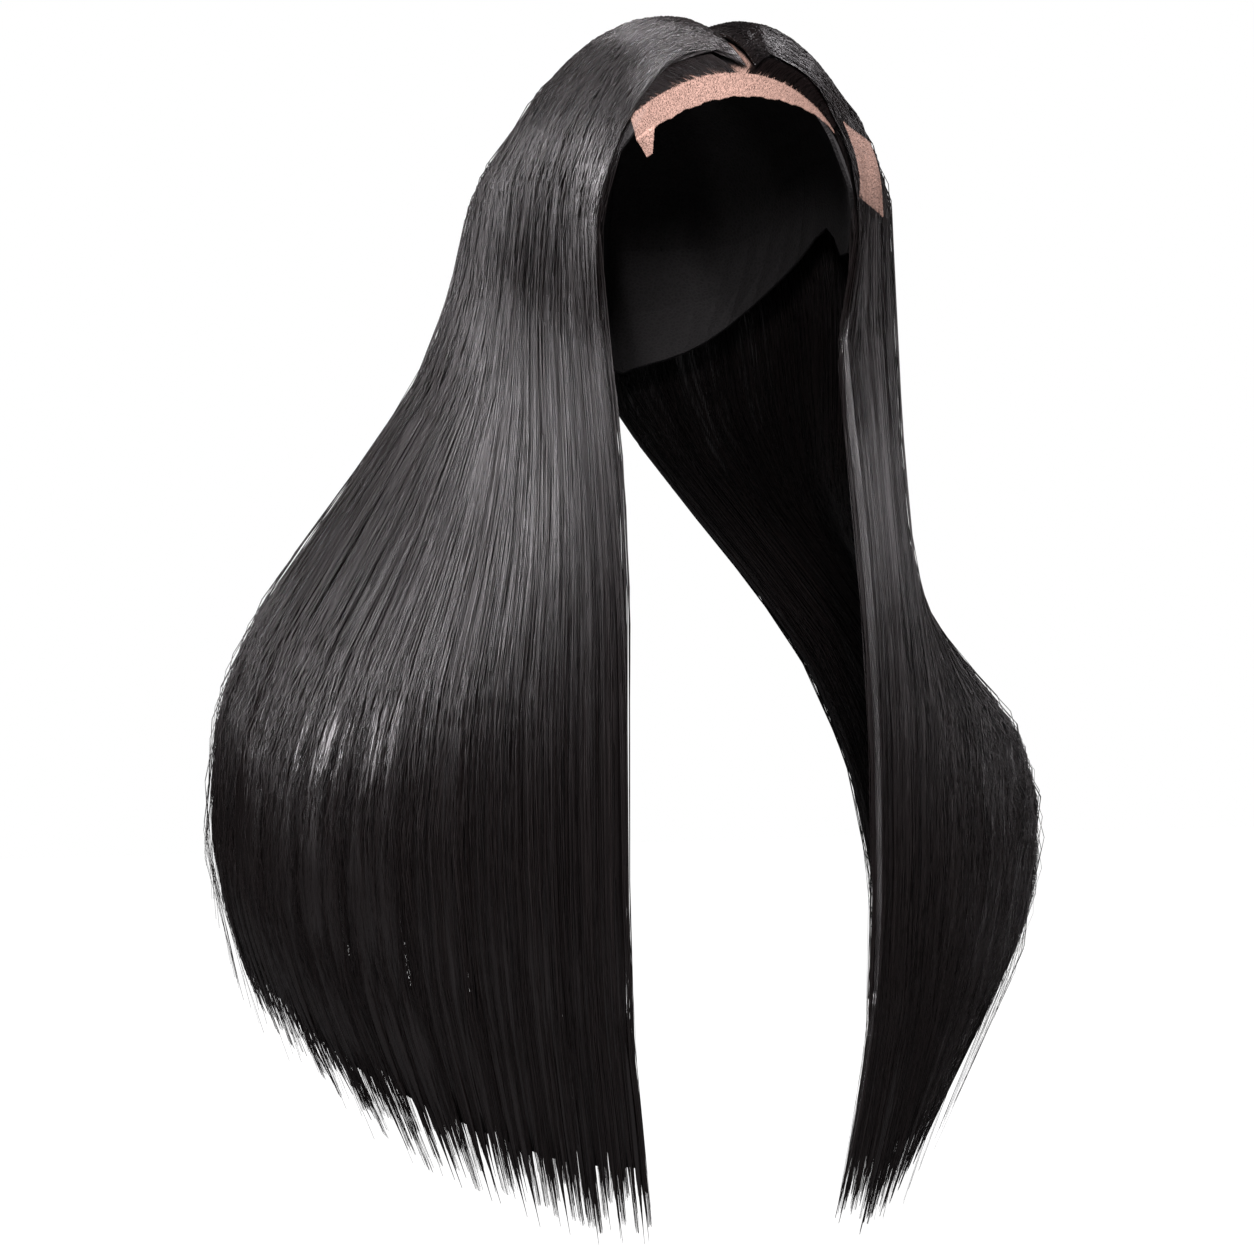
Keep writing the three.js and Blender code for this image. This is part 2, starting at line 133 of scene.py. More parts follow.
# fall, then x and y of the face edge, cheek, side, rear and nape
FAN_ROWS = {
    "right": [
        (0.12, 0.32, -0.68, 0.444, -0.34, 0.601, 0.22, 0.635, 0.98, 0.202, 1.1),
        (0.24, 0.31, -0.74, 0.475, -0.42, 0.705, 0.22, 0.82, 0.98, 0.395, 1.03),
        (0.34, 0.305, -0.78, 0.513, -0.49, 0.822, 0.18, 0.951, 0.95, 0.535, 0.99),
        (0.45, 0.305, -0.8, 0.543, -0.54, 0.918, 0.12, 1.016, 0.94, 0.643, 0.98),
        (0.62, 0.305, -0.82, 0.546, -0.58, 0.964, 0.06, 1.026, 0.9, 0.723, 0.97),
        (0.76, 0.3, -0.83, 0.528, -0.6, 0.909, 0.02, 0.954, 0.83, 0.702, 0.92),
        (0.9, 0.27, -0.82, 0.488, -0.6, 0.788, -0.04, 0.832, 0.71, 0.661, 0.82),
        (1.08, 0.23, -0.8, 0.418, -0.58, 0.618, -0.12, 0.642, 0.54, 0.571, 0.66),
    ],
    "left": [
        (0.12, 0.345, -0.54, 0.493, -0.34, 0.51, 0.18, 0.545, 0.95, 0.18, 1.1),
        (0.24, 0.35, -0.62, 0.497, -0.43, 0.579, 0.16, 0.695, 0.93, 0.37, 1.03),
        (0.34, 0.35, -0.68, 0.509, -0.52, 0.724, 0.09, 0.845, 0.912, 0.52, 0.99),
        (0.45, 0.35, -0.72, 0.534, -0.56, 0.91, 0.01, 0.958, 0.9, 0.63, 0.98),
        (0.62, 0.35, -0.74, 0.524, -0.6, 0.954, -0.03, 0.995, 0.865, 0.72, 0.97),
        (0.76, 0.34, -0.75, 0.5, -0.61, 0.854, -0.07, 0.925, 0.8, 0.71, 0.92),
        (0.9, 0.3, -0.75, 0.443, -0.6, 0.681, -0.15, 0.79, 0.67, 0.67, 0.82),
        (1.08, 0.22, -0.73, 0.353, -0.56, 0.481, -0.24, 0.62, 0.5, 0.58, 0.66),
    ],
}

# place, then the drop of the tips on the right and on the left
TIP_ROWS = [
    (0.00, 0.985, 0.985),
    (0.22, 0.975, 0.99),
    (0.50, 0.90, 0.92),
    (0.66, 0.83, 0.82),
    (0.82, 0.80, 0.79),
    (1.00, 0.88, 0.88),
]

# %% [markdown]
# A strand starts at the parting, goes over the head on a stretched ball, and
# then passes through the hanging rows. Both stretches become one smooth curve.
# Everything that follows, locks, hairline and stray hairs, is placed with
# hair_line, so no piece can drift away from its neighbour.

# %% The flowing sheet of hair
def smooth_step(x):
    t = np.clip(x, 0.0, 1.0)
    return t * t * (3 - 2 * t)


def curve_at(places, values, at):
    """A smooth curve through rows of values, read at many places."""
    places = np.asarray(places, float)
    values = np.asarray(values, float)
    at = np.atleast_1d(at)
    slopes = np.diff(values, axis=0) / np.diff(places)[:, None]
    tangents = np.vstack([slopes[:1], (slopes[1:] + slopes[:-1]) / 2, slopes[-1:]])
    i = np.clip(np.searchsorted(places, at) - 1, 0, len(places) - 2)
    span = (places[i + 1] - places[i])[:, None]
    t = (at[:, None] - places[i][:, None]) / span
    return (
        (2 * t**3 - 3 * t**2 + 1) * values[i]
        + (t**3 - 2 * t**2 + t) * span * tangents[i]
        + (3 * t**2 - 2 * t**3) * values[i + 1]
        + (t**3 - t**2) * span * tangents[i + 1]
    )


def head_direction(across_deg, along_deg):
    a = np.radians(across_deg)
    b = np.radians(along_deg)
    return np.stack([np.sin(a) + 0 * b, np.sin(b) * np.cos(a), np.cos(b) * np.cos(a)], axis=-1)


def head_reach(direction, side_grow, top_grow):
    x = direction[..., 0] / (HEAD_HALF_WIDTH + side_grow)
    y = direction[..., 1] / (HEAD_HALF_DEPTH + side_grow)
    z = direction[..., 2] / (HEAD_CROWN_HEIGHT + top_grow)
    return 1 / np.sqrt(x * x + y * y + z * z)


def on_head(direction, grow):
    """The point of the head's surface, grown by a wall, in a given direction."""
    return direction * head_reach(direction, grow, grow)[..., None] + HEAD_CENTRE


def hanging_points(side, place):
    sign = 1 if side == "left" else -1
    jaw_drop = HEAD_ROWS[side][-1][0] * HEAD_CROWN_HEIGHT
    points = []
    for row in HEAD_ROWS[side]:
        x, y = curve_at(COLUMN_PLACES, np.reshape(row[1:], (5, 2)), place)[0]
        half = np.array([HEAD_HALF_WIDTH + SIDE_LIFT, HEAD_HALF_DEPTH + SIDE_LIFT])
        points.append([sign * x * half[0], y * half[1], -row[0] * HEAD_CROWN_HEIGHT])
    for row in FAN_ROWS[side]:
        x, y = curve_at(COLUMN_PLACES, np.reshape(row[1:], (5, 2)), place)[0]
        fall = -jaw_drop - row[0] * (HAIR_DROP - jaw_drop)
        points.append([sign * x * FAN_HALF_WIDTH, y * FAN_HALF_DEPTH, fall])
    return np.array(points)


def strand_points(side, place):
    """Points from the root, over the head, and down through the hanging rows."""
    sign = 1 if side == "left" else -1
    hanging = hanging_points(side, place)
    tilt = PART_FRONT_DEG + (PART_BACK_DEG - PART_FRONT_DEG) * place
    root_lift = CAP_WALL + 2 * SEAT_GAP + LACE_WALL + ROOT_THICKNESS
    root_shift = PART_OFFSET * smooth_step((PART_BACK_DEG - 10 - tilt) / 60)
    gap_deg = math.degrees(PART_HALF_GAP / HEAD_CROWN_HEIGHT)
    root = head_direction(sign * gap_deg * (1 - smooth_step((place - 0.85) / 0.15)), tilt)
    landing = hanging[0] - HEAD_CENTRE
    landing_reach = np.linalg.norm(landing)
    landing = landing / landing_reach
    turn = np.arccos(np.clip(root @ landing, -1, 1))
    fullness = FRONT_LIFT_SHARE + (1 - FRONT_LIFT_SHARE) * smooth_step(place / 0.15)
    bulge = landing_reach / head_reach(landing, SIDE_LIFT * fullness, CROWN_LIFT * fullness)
    sweep = 0.38 * np.exp(-((place / 0.3) ** 2))
    over = []
    for share in (0, 0.06, 0.17, 0.42, 0.74):
        direction = root * np.sin((1 - share) * turn) + landing * np.sin(share * turn)
        direction = direction / np.sin(turn)
        lift = sweep * np.sin(np.pi * share**0.75)
        direction = direction + np.array([0, 0.45 * lift, lift])
        direction = direction / np.linalg.norm(direction)
        rise = smooth_step(share / 0.1) * fullness
        reach = head_reach(
            direction,
            root_lift + (SIDE_LIFT - root_lift) * rise,
            root_lift + (CROWN_LIFT - root_lift) * rise,
        )
        reach = reach * (1 + (bulge - 1) * smooth_step((share - 0.4) / 0.6))
        point = direction * reach + HEAD_CENTRE
        point[0] += root_shift * (1 - share)
        over.append(point)
    return np.vstack([over, hanging])


strand_cache = {}


def strand(side, place):
    """The control points, their distances along the strand, and its length."""
    key = (side, round(float(place), 6))
    if key not in strand_cache:
        points = strand_points(side, place)
        steps = np.linalg.norm(np.diff(points, axis=0), axis=1)
        reached = np.concatenate([[0], np.cumsum(steps)])
        column = 2 if side == "left" else 1
        tips = np.array(TIP_ROWS)
        tip_drop = curve_at(tips[:, 0], tips[:, column : column + 1], place)[0, 0] * HAIR_DROP
        tries = np.linspace(reached[4], reached[-1], 800)
        drops = -curve_at(reached, points, tries)[:, 2]
        strand_cache[key] = points, reached, float(np.interp(tip_drop, drops, tries))
    return strand_cache[key]


def hair_line(side, place, shares):
    """Points on the outer face of the hair, from the root to past the tip."""
    points, reached, length = strand(side, min(1.0, max(0.0, place)))
    return curve_at(reached, points, np.asarray(shares) * length)


def keep_off_head(points, lift):
    """Moves points out where they lie nearer the head than the lace allows."""
    fade = smooth_step((points[..., 2] + 1.75 * HEAD_CROWN_HEIGHT) / (0.35 * HEAD_CROWN_HEIGHT))
    kept = lift * fade - (1 - fade) * HEAD_HALF_WIDTH / 2
    direction = points - HEAD_CENTRE
    distance = np.linalg.norm(direction, axis=-1)
    direction = direction / distance[..., None]
    reach = np.maximum(distance, head_reach(direction, kept, kept))
    return direction * reach[..., None] + HEAD_CENTRE


def unit(vectors):
    return vectors / np.maximum(1e-9, np.linalg.norm(vectors, axis=-1))[..., None]


def hair_sheet(side, places, shares):
    """Positions and outward directions on a grid of places and shares."""
    step = 0.004
    shares = np.asarray(shares)
    middle = np.array([hair_line(side, p, shares) for p in places])
    before = np.array([hair_line(side, max(0, p - step), shares) for p in places])
    after = np.array([hair_line(side, min(1, p + step), shares) for p in places])
    higher = np.array([hair_line(side, p, np.maximum(0, shares - step)) for p in places])
    lower = np.array([hair_line(side, p, shares + step) for p in places])
    outward = unit(np.cross(after - before, lower - higher))
    return middle, -outward if side == "left" else outward


INNERMOST = CAP_WALL + LACE_WALL + 2 * SEAT_GAP + 0.0007
print("a face strand is", round(strand("right", 0.0)[2], 3), "m long and a side one",
      round(strand("right", 0.5)[2], 3), "m")

# %% [markdown]
# The hair's finish is set on the strands themselves. Each strand is a thin
# closed tube, and thousands of them side by side give the broad soft sheen of
# straight hair, so the material needs only a near-black brown with a little
# difference from strand to strand, and a smooth cuticle. What lies deeper is
# drawn as a mass, and gets fine streaks along its flow in place of strands.

# %% Material helpers
def new_material(name):
    material = bpy.data.materials.new(name)
    material.use_nodes = True
    nodes = material.node_tree.nodes
    return material, nodes, material.node_tree.links, nodes["Principled BSDF"]


def math_node(nodes, links, operation, first, second=None):
    node = nodes.new("ShaderNodeMath")
    node.operation = operation
    for socket, value in zip(node.inputs, (first, second)):
        if value is None:
            continue
        if isinstance(value, (int, float)):
            socket.default_value = value
        else:
            links.new(value, socket)
    return node.outputs[0]


STREAKS_PER_METRE = 1500
STREAK_BENDS = 2.5
STREAK_DEPTH = 0.0003
HAIR_DARK = (0.0012, 0.0009, 0.0009, 1)
HAIR_BROWN = (0.0058, 0.0036, 0.0034, 1)
SMOOTHEST = 0.24
ROUGHEST = 0.34


def hair_material(name, gloss, combed):
    """Near-black hair; a combed one also has fine streaks along its flow."""
    material, nodes, links, shader = new_material(name)
    shader.inputs["Specular IOR Level"].default_value = gloss
    tone = nodes.new("ShaderNodeAttribute")
    tone.attribute_name = "strand_tone"
    shade = tone.outputs["Fac"]
    if combed:
        flow = nodes.new("ShaderNodeAttribute")
        flow.attribute_name = "flow"
        stretch = nodes.new("ShaderNodeVectorMath")
        stretch.operation = "MULTIPLY"
        stretch.inputs[1].default_value = (STREAKS_PER_METRE, STREAK_BENDS, 0)
        links.new(flow.outputs["Vector"], stretch.inputs[0])
        streak = nodes.new("ShaderNodeTexNoise")
        streak.inputs["Scale"].default_value = 1.0
        links.new(stretch.outputs["Vector"], streak.inputs["Vector"])
        mixed = math_node(nodes, links, "ADD", shade, streak.outputs["Fac"])
        shade = math_node(nodes, links, "SUBTRACT", mixed, 0.5)
        bump = nodes.new("ShaderNodeBump")
        bump.inputs["Strength"].default_value = 1.0
        bump.inputs["Distance"].default_value = STREAK_DEPTH
        links.new(streak.outputs["Fac"], bump.inputs["Height"])
        links.new(bump.outputs["Normal"], shader.inputs["Normal"])
    ramp = nodes.new("ShaderNodeValToRGB")
    ramp.color_ramp.elements[0].color = HAIR_DARK
    ramp.color_ramp.elements[1].color = HAIR_BROWN
    links.new(shade, ramp.inputs["Fac"])
    links.new(ramp.outputs["Color"], shader.inputs["Base Color"])
    rough = nodes.new("ShaderNodeMapRange")
    rough.inputs["To Min"].default_value = SMOOTHEST
    rough.inputs["To Max"].default_value = ROUGHEST
    links.new(shade, rough.inputs["Value"])
    links.new(rough.outputs["Result"], shader.inputs["Roughness"])
    return material


hair = hair_material("hair", 0.6, combed=False)
combed_hair = hair_material("combed_hair", 0.6, combed=True)
# The hairline strands are the same hair with a weaker reflection: painted shade for the shade that falls
# on them among the hair.
hairline_hair = hair_material("hairline_hair", 0.2, combed=False)

# %% [markdown]
# Thousands of strands follow one rule, so Geometry Nodes make them. The tree
# takes the guide surface of a lock, a grid with its own UV map, duplicates one
# straight curve many times, and lays each copy on the surface by reading it at
# a UV of its own. Strands gather into clumps towards the tips, and differ in
# depth, length and width. Inputs have names, and the seed is fixed.

# %% Geometry Nodes tree for strands
GUIDE_END = 1.085
STRAND_INPUTS = {
    "Strands": ("NodeSocketInt", 300),
    "Points": ("NodeSocketInt", 12),
    "Radius": ("NodeSocketFloat", 0.00025),
    "Clumps": ("NodeSocketFloat", 5.0),
    "Clump Pull": ("NodeSocketFloat", 0.6),
    "Drift": ("NodeSocketFloat", 0.03),
    "Outer Share": ("NodeSocketFloat", 0.7),
    "Stray Share": ("NodeSocketFloat", 0.03),
    "Latest Root": ("NodeSocketFloat", 0.15),
    "Shortest Tip": ("NodeSocketFloat", 0.975),
    "Longest Tip": ("NodeSocketFloat", 1.02),
    "Tip Spread": ("NodeSocketFloat", 0.12),
    "Ease": ("NodeSocketFloat", 1.5),
    "Seed": ("NodeSocketInt", 1),
}


class TreeMaker:
    """Short names for the nodes that a tree is made of."""

    def __init__(self, name):
        self.tree = bpy.data.node_groups.new(name, "GeometryNodeTree")
        self.nodes = self.tree.nodes
        self.links = self.tree.links

    def plug(self, value, socket):
        if isinstance(value, (int, float)):
            socket.default_value = value
        elif isinstance(value, tuple):
            socket.default_value = value
        elif value is not None:
            self.links.new(value, socket)

    def node(self, kind, **settings):
        node = self.nodes.new(kind)
        for key, value in settings.items():
            setattr(node, key, value)
        return node

    def maths(self, operation, first, second=None, third=None):
        node = self.node("ShaderNodeMath", operation=operation)
        for value, socket in zip((first, second, third), node.inputs):
            self.plug(value, socket)
        return node.outputs[0]

    def random(self, low, high, key, seed):
        node = self.node("FunctionNodeRandomValue", data_type="FLOAT")
        self.plug(low, node.inputs[2])
        self.plug(high, node.inputs[3])
        self.plug(key, node.inputs["ID"])
        self.plug(seed, node.inputs["Seed"])
        return node.outputs[1]

    def remap(self, value, low, high, new_low, new_high):
        node = self.node("ShaderNodeMapRange", interpolation_type="SMOOTHSTEP")
        for item, name in zip(
            (value, low, high, new_low, new_high),
            ("Value", "From Min", "From Max", "To Min", "To Max"),
        ):
            self.plug(item, node.inputs[name])
        return node.outputs[0]

    def mix(self, factor, first, second):
        node = self.node("ShaderNodeMix", data_type="FLOAT")
        self.plug(factor, node.inputs[0])
        self.plug(first, node.inputs[2])
        self.plug(second, node.inputs[3])
        return node.outputs[0]


def strand_tree():
    make = TreeMaker("strands_on_a_surface")
    face = make.tree.interface
    face.new_socket("Geometry", in_out="INPUT", socket_type="NodeSocketGeometry")
    for name, (kind, default) in STRAND_INPUTS.items():
        socket = face.new_socket(name, in_out="INPUT", socket_type=kind)
        socket.default_value = default
    face.new_socket("Finish", in_out="INPUT", socket_type="NodeSocketMaterial")
    face.new_socket("Geometry", in_out="OUTPUT", socket_type="NodeSocketGeometry")
    given = make.node("NodeGroupInput").outputs
    result = make.node("NodeGroupOutput")

    # one straight curve, copied once for each strand
    line = make.node("GeometryNodeCurvePrimitiveLine")
    resample = make.node("GeometryNodeResampleCurve")
    make.links.new(line.outputs[0], resample.inputs["Curve"])
    make.plug(given["Points"], resample.inputs["Count"])
    copies = make.node("GeometryNodeDuplicateElements", domain="SPLINE")
    make.links.new(resample.outputs[0], copies.inputs["Geometry"])
    make.plug(given["Strands"], copies.inputs["Amount"])

    # what each strand is given once: its place, its depth, its root and its tip
    which = make.node("GeometryNodeCurveOfPoint").outputs["Curve Index"]
    along = make.node("GeometryNodeSplineParameter").outputs["Factor"]
    seed = given["Seed"]

    def seeded(offset):
        return make.maths("ADD", seed, offset)

    place = make.random(0.0, 1.0, which, seeded(1))
    clump = make.maths("FLOOR", make.maths("MULTIPLY", place, given["Clumps"]))
    jitter = make.random(0.2, 0.8, clump, seeded(2))
    clump_place = make.maths("DIVIDE", make.maths("ADD", clump, jitter), given["Clumps"])
    root = make.random(0.0, 1.0, which, seeded(3))
    root = make.maths("MULTIPLY", make.maths("POWER", root, 3.0), given["Latest Root"])
    clump_tip = make.random(given["Shortest Tip"], given["Longest Tip"], clump, seeded(4))
    own_tip = make.maths("POWER", make.random(0.0, 1.0, which, seeded(5)), 2.5)
    tip = make.maths("SUBTRACT", clump_tip, make.maths("MULTIPLY", own_tip, given["Tip Spread"]))
    is_stray = make.maths("LESS_THAN", make.random(0.0, 1.0, which, seeded(6)), given["Stray Share"])

    # where each point of a strand lies on the guide surface
    eased = make.maths("POWER", along, given["Ease"])
    down = make.mix(eased, root, tip)
    gathering = make.maths("MULTIPLY", make.remap(down, 0.5, 1.0, 0.0, 1.0), given["Clump Pull"])
    drift = make.maths("MULTIPLY", make.random(-1.0, 1.0, which, seeded(7)), given["Drift"])
    drift = make.maths("MULTIPLY", drift, make.maths("MULTIPLY_ADD", is_stray, 9.0, 1.0))
    drift = make.maths("MULTIPLY", drift, make.maths("SINE", make.maths("MULTIPLY", along, 4.2)))
    sideways = make.maths("ADD", make.mix(gathering, place, clump_place), drift)
    sideways = make.maths("MINIMUM", make.maths("MAXIMUM", sideways, 0.002), 0.998)
    lengthways = make.maths("MINIMUM", make.maths("MAXIMUM", down, 0.0005), GUIDE_END - 0.005)
    lengthways = make.maths("DIVIDE", lengthways, GUIDE_END)
    uv = make.node("ShaderNodeCombineXYZ")
    make.plug(sideways, uv.inputs[0])
    make.plug(lengthways, uv.inputs[1])

    def read_surface(field, data_type):
        sample = make.node("GeometryNodeSampleUVSurface", data_type=data_type)
        make.links.new(given["Geometry"], sample.inputs["Mesh"])
        make.links.new(field, sample.inputs["Value"])
        uv_map = make.node("GeometryNodeInputNamedAttribute", data_type="FLOAT_VECTOR")
        uv_map.inputs["Name"].default_value = "guide"
        make.links.new(uv_map.outputs["Attribute"], sample.inputs["UV Map"])
        make.links.new(uv.outputs[0], sample.inputs["Sample UV"])
        return sample.outputs["Value"]

    def named(name, data_type):
        node = make.node("GeometryNodeInputNamedAttribute", data_type=data_type)
        node.inputs["Name"].default_value = name
        return node.outputs["Attribute"]

    on_sheet = read_surface(make.node("GeometryNodeInputPosition").outputs[0], "FLOAT_VECTOR")
    outward = read_surface(named("outward", "FLOAT_VECTOR"), "FLOAT_VECTOR")
    thickness = read_surface(named("thickness", "FLOAT"), "FLOAT")

    # outer strands lie on top, a few lie on the inner face of the lock
    pick = make.random(0.0, 1.0, which, seeded(8))
    fine = make.maths("POWER", make.random(0.0, 1.0, which, seeded(9)), 1.6)
    outer_depth = make.maths("MULTIPLY", fine, 0.2)
    inner_depth = make.maths("SUBTRACT", 1.0, make.maths("MULTIPLY", fine, 0.3))
    is_inner = make.maths("GREATER_THAN", pick, given["Outer Share"])
    depth = make.mix(is_inner, outer_depth, inner_depth)
    clump_depth = make.random(-0.05, 0.09, clump, seeded(10))
    depth = make.maths("ADD", depth, clump_depth)
    depth = make.mix(make.remap(down, 0.72, 1.05, 0.0, 0.75), depth, 0.5)
    depth = make.mix(make.maths("MULTIPLY", is_stray, make.remap(along, 0.1, 0.4, 0.0, 1.0)), depth, -0.2)
    sunk = make.maths("MULTIPLY", depth, thickness)
    move = make.node("ShaderNodeVectorMath", operation="SCALE")
    make.links.new(outward, move.inputs[0])
    make.links.new(make.maths("MULTIPLY", sunk, -1.0), move.inputs["Scale"])
    target = make.node("ShaderNodeVectorMath", operation="ADD")
    make.links.new(on_sheet, target.inputs[0])
    make.links.new(move.outputs[0], target.inputs[1])
    placed = make.node("GeometryNodeSetPosition")
    make.links.new(copies.outputs["Geometry"], placed.inputs["Geometry"])
    make.links.new(target.outputs[0], placed.inputs["Position"])

    # width, tone and the tube itself
    tone = make.random(0.0, 1.0, which, seeded(11))
    keep_tone = make.node("GeometryNodeStoreNamedAttribute", data_type="FLOAT", domain="POINT")
    keep_tone.inputs["Name"].default_value = "strand_tone"
    make.links.new(placed.outputs[0], keep_tone.inputs["Geometry"])
    make.links.new(tone, keep_tone.inputs["Value"])
    slim = make.remap(along, 0.55, 1.0, 1.0, 0.3)
    width = make.maths("MULTIPLY", given["Radius"], slim)
    width = make.maths("MULTIPLY", width, make.random(0.7, 1.3, which, seeded(12)))
    ring = make.node("GeometryNodeCurvePrimitiveCircle", mode="RADIUS")
    ring.inputs["Resolution"].default_value = 3
    ring.inputs["Radius"].default_value = 1.0
    tubes = make.node("GeometryNodeCurveToMesh")
    make.links.new(keep_tone.outputs[0], tubes.inputs["Curve"])
    make.links.new(width, tubes.inputs["Scale"])
    make.links.new(ring.outputs[0], tubes.inputs["Profile Curve"])
    tubes.inputs["Fill Caps"].default_value = True
    real = make.node("GeometryNodeRealizeInstances")
    make.links.new(tubes.outputs[0], real.inputs[0])
    finish = make.node("GeometryNodeSetMaterial")
    make.links.new(real.outputs[0], finish.inputs["Geometry"])
    make.links.new(given["Finish"], finish.inputs["Material"])
    make.links.new(finish.outputs[0], result.inputs[0])
    return make.tree


strands_on_surface = strand_tree()
print("the strand tree has", len(strands_on_surface.nodes), "nodes")

# %% [markdown]
# The tree is used through one helper. It makes a guide surface from a grid of
# points, gives it the UV map and the two attributes that the tree reads, runs
# the tree with the wanted numbers, and keeps only the plain mesh that results.

# %% Strands on a guide surface
def grid_mesh(name, points, outward, thickness):
    columns, rows = points.shape[:2]
    vertices = points.reshape(-1, 3)
    faces = []
    for i in range(columns - 1):
        for j in range(rows - 1):
            a = i * rows + j
            faces.append((a, a + 1, a + rows + 1, a + rows))
    mesh = bpy.data.meshes.new(name)
    mesh.from_pydata(vertices.tolist(), [], faces)
    guide = mesh.attributes.new("guide", "FLOAT2", "CORNER")
    u = np.repeat(np.linspace(0, 1, columns), rows)
    v = np.tile(np.linspace(0, 1, rows), columns)
    corner_vertex = np.zeros(len(mesh.loops), dtype=np.int32)
    mesh.loops.foreach_get("vertex_index", corner_vertex)
    guide.data.foreach_set("vector", np.stack([u, v], axis=1)[corner_vertex].ravel())
    facing = mesh.attributes.new("outward", "FLOAT_VECTOR", "POINT")
    facing.data.foreach_set("vector", outward.reshape(-1, 3).ravel())
    deep = mesh.attributes.new("thickness", "FLOAT", "POINT")
    deep.data.foreach_set("value", thickness.ravel())
    return mesh


def grow_strands(name, points, outward, thickness, finish, **numbers):
    guide = bpy.data.objects.new(name + "_guide", grid_mesh(name + "_guide", points, outward, thickness))
    bpy.context.scene.collection.objects.link(guide)
    modifier = guide.modifiers.new("strands", "NODES")
    modifier.node_group = strands_on_surface
    for item in strands_on_surface.interface.items_tree:
        if item.item_type != "SOCKET" or item.in_out != "INPUT":
            continue
        if item.name in numbers:
            modifier[item.identifier] = numbers[item.name]
        if item.name == "Finish":
            modifier[item.identifier] = finish
    depsgraph = bpy.context.evaluated_depsgraph_get()
    mesh = bpy.data.meshes.new_from_object(guide.evaluated_get(depsgraph))
    mesh.name = name
    guide.modifiers.remove(modifier)
    bpy.data.objects.remove(guide)
    return mesh


# %% [markdown]
# Under the strands a lock has a body: the mass of hair too deep to be seen as
# single strands. It is a slim closed form a little inside the lock, so no light
# leaks through, and it ends short of the tips. There the hair parts into wisps,
# flat pointed tufts of uneven length, with single strands between them.

# %% The body of a lock
def body_mesh(name, side, start, end, thickness_at, finish):
    shares = np.concatenate([np.linspace(0, 0.3, 16), np.linspace(0.33, 0.972, 22)])
    across = np.linspace(0, 1, 7)
    places = start + (end - start) * np.maximum(across, 0.14 if start == 0 else 0)
    middle, outward = hair_sheet(side, places, shares)
    thickness = thickness_at(shares)
    ending = smooth_step((shares - 0.8) / 0.165)
    narrow = 1 - 0.35 * ending
    slim = 1 - 0.85 * ending
    rings = []
    width = np.linalg.norm(middle[-1] - middle[0], axis=-1)
    flow = []
    centre = middle[len(across) // 2]
    for j in range(len(shares)):
        row = middle[:, j] * narrow[j] + centre[j] * (1 - narrow[j])
        room = 0.22 + 0.1 * np.abs(2 * across - 1) ** 3
        top = 0.5 - (0.5 - room) * slim[j]
        low = 0.5 + (0.5 - room) * slim[j]
        outer = row - outward[:, j] * (top * thickness[j])[:, None]
        inner = row - outward[:, j] * (low * thickness[j])[:, None]
        outer = keep_off_head(outer, INNERMOST + THINNEST_HAIR * 0.5)
        inner = keep_off_head(inner, INNERMOST)
        rings.append(np.vstack([outer, inner[::-1]]))
        over = np.concatenate([across, across[::-1] + 2]) * width[j] + start
        flow.append(np.stack([over, np.full(14, shares[j])], axis=1))
    rings = np.array(rings)
    count = rings.shape[1]
    faces = []
    for r in range(len(rings) - 1):
        for i in range(count):
            a = r * count + i
            b = r * count + (i + 1) % count
            faces.append((a, b, b + count, a + count))
    last = (len(rings) - 1) * count
    faces.append(tuple(range(count - 1, -1, -1)))
    faces.append(tuple(range(last, last + count)))
    if side == "left":
        faces = [face[::-1] for face in faces]
    mesh = bpy.data.meshes.new(name)
    mesh.from_pydata(rings.reshape(-1, 3).tolist(), [], faces)
    paint_flow(mesh, np.array(flow).reshape(-1, 2))
    mesh.materials.append(finish)
    return mesh


def paint_flow(mesh, flow):
    """Keeps where each point lies across and along the hair."""
    tone = mesh.attributes.new("strand_tone", "FLOAT", "POINT")
    tone.data.foreach_set("value", np.full(len(flow), BODY_TONE))
    lay = mesh.attributes.new("flow", "FLOAT_VECTOR", "POINT")
    lay.data.foreach_set("vector", np.column_stack([flow, np.zeros(len(flow))]).ravel())


BODY_TONE = 0.3
WISPS_PER_LOCK = 10
WISP_RINGS = 16
WISP_START = 0.84
WISP_END_MIN = 0.985
WISP_END_SPREAD = 0.052
WISP_OVERLAP = 0.95
WISP_SECTION = np.array([[-1, 0], [-0.5, 0.6], [0.5, 0.6], [1, 0], [0.5, -0.6], [-0.5, -0.6]])


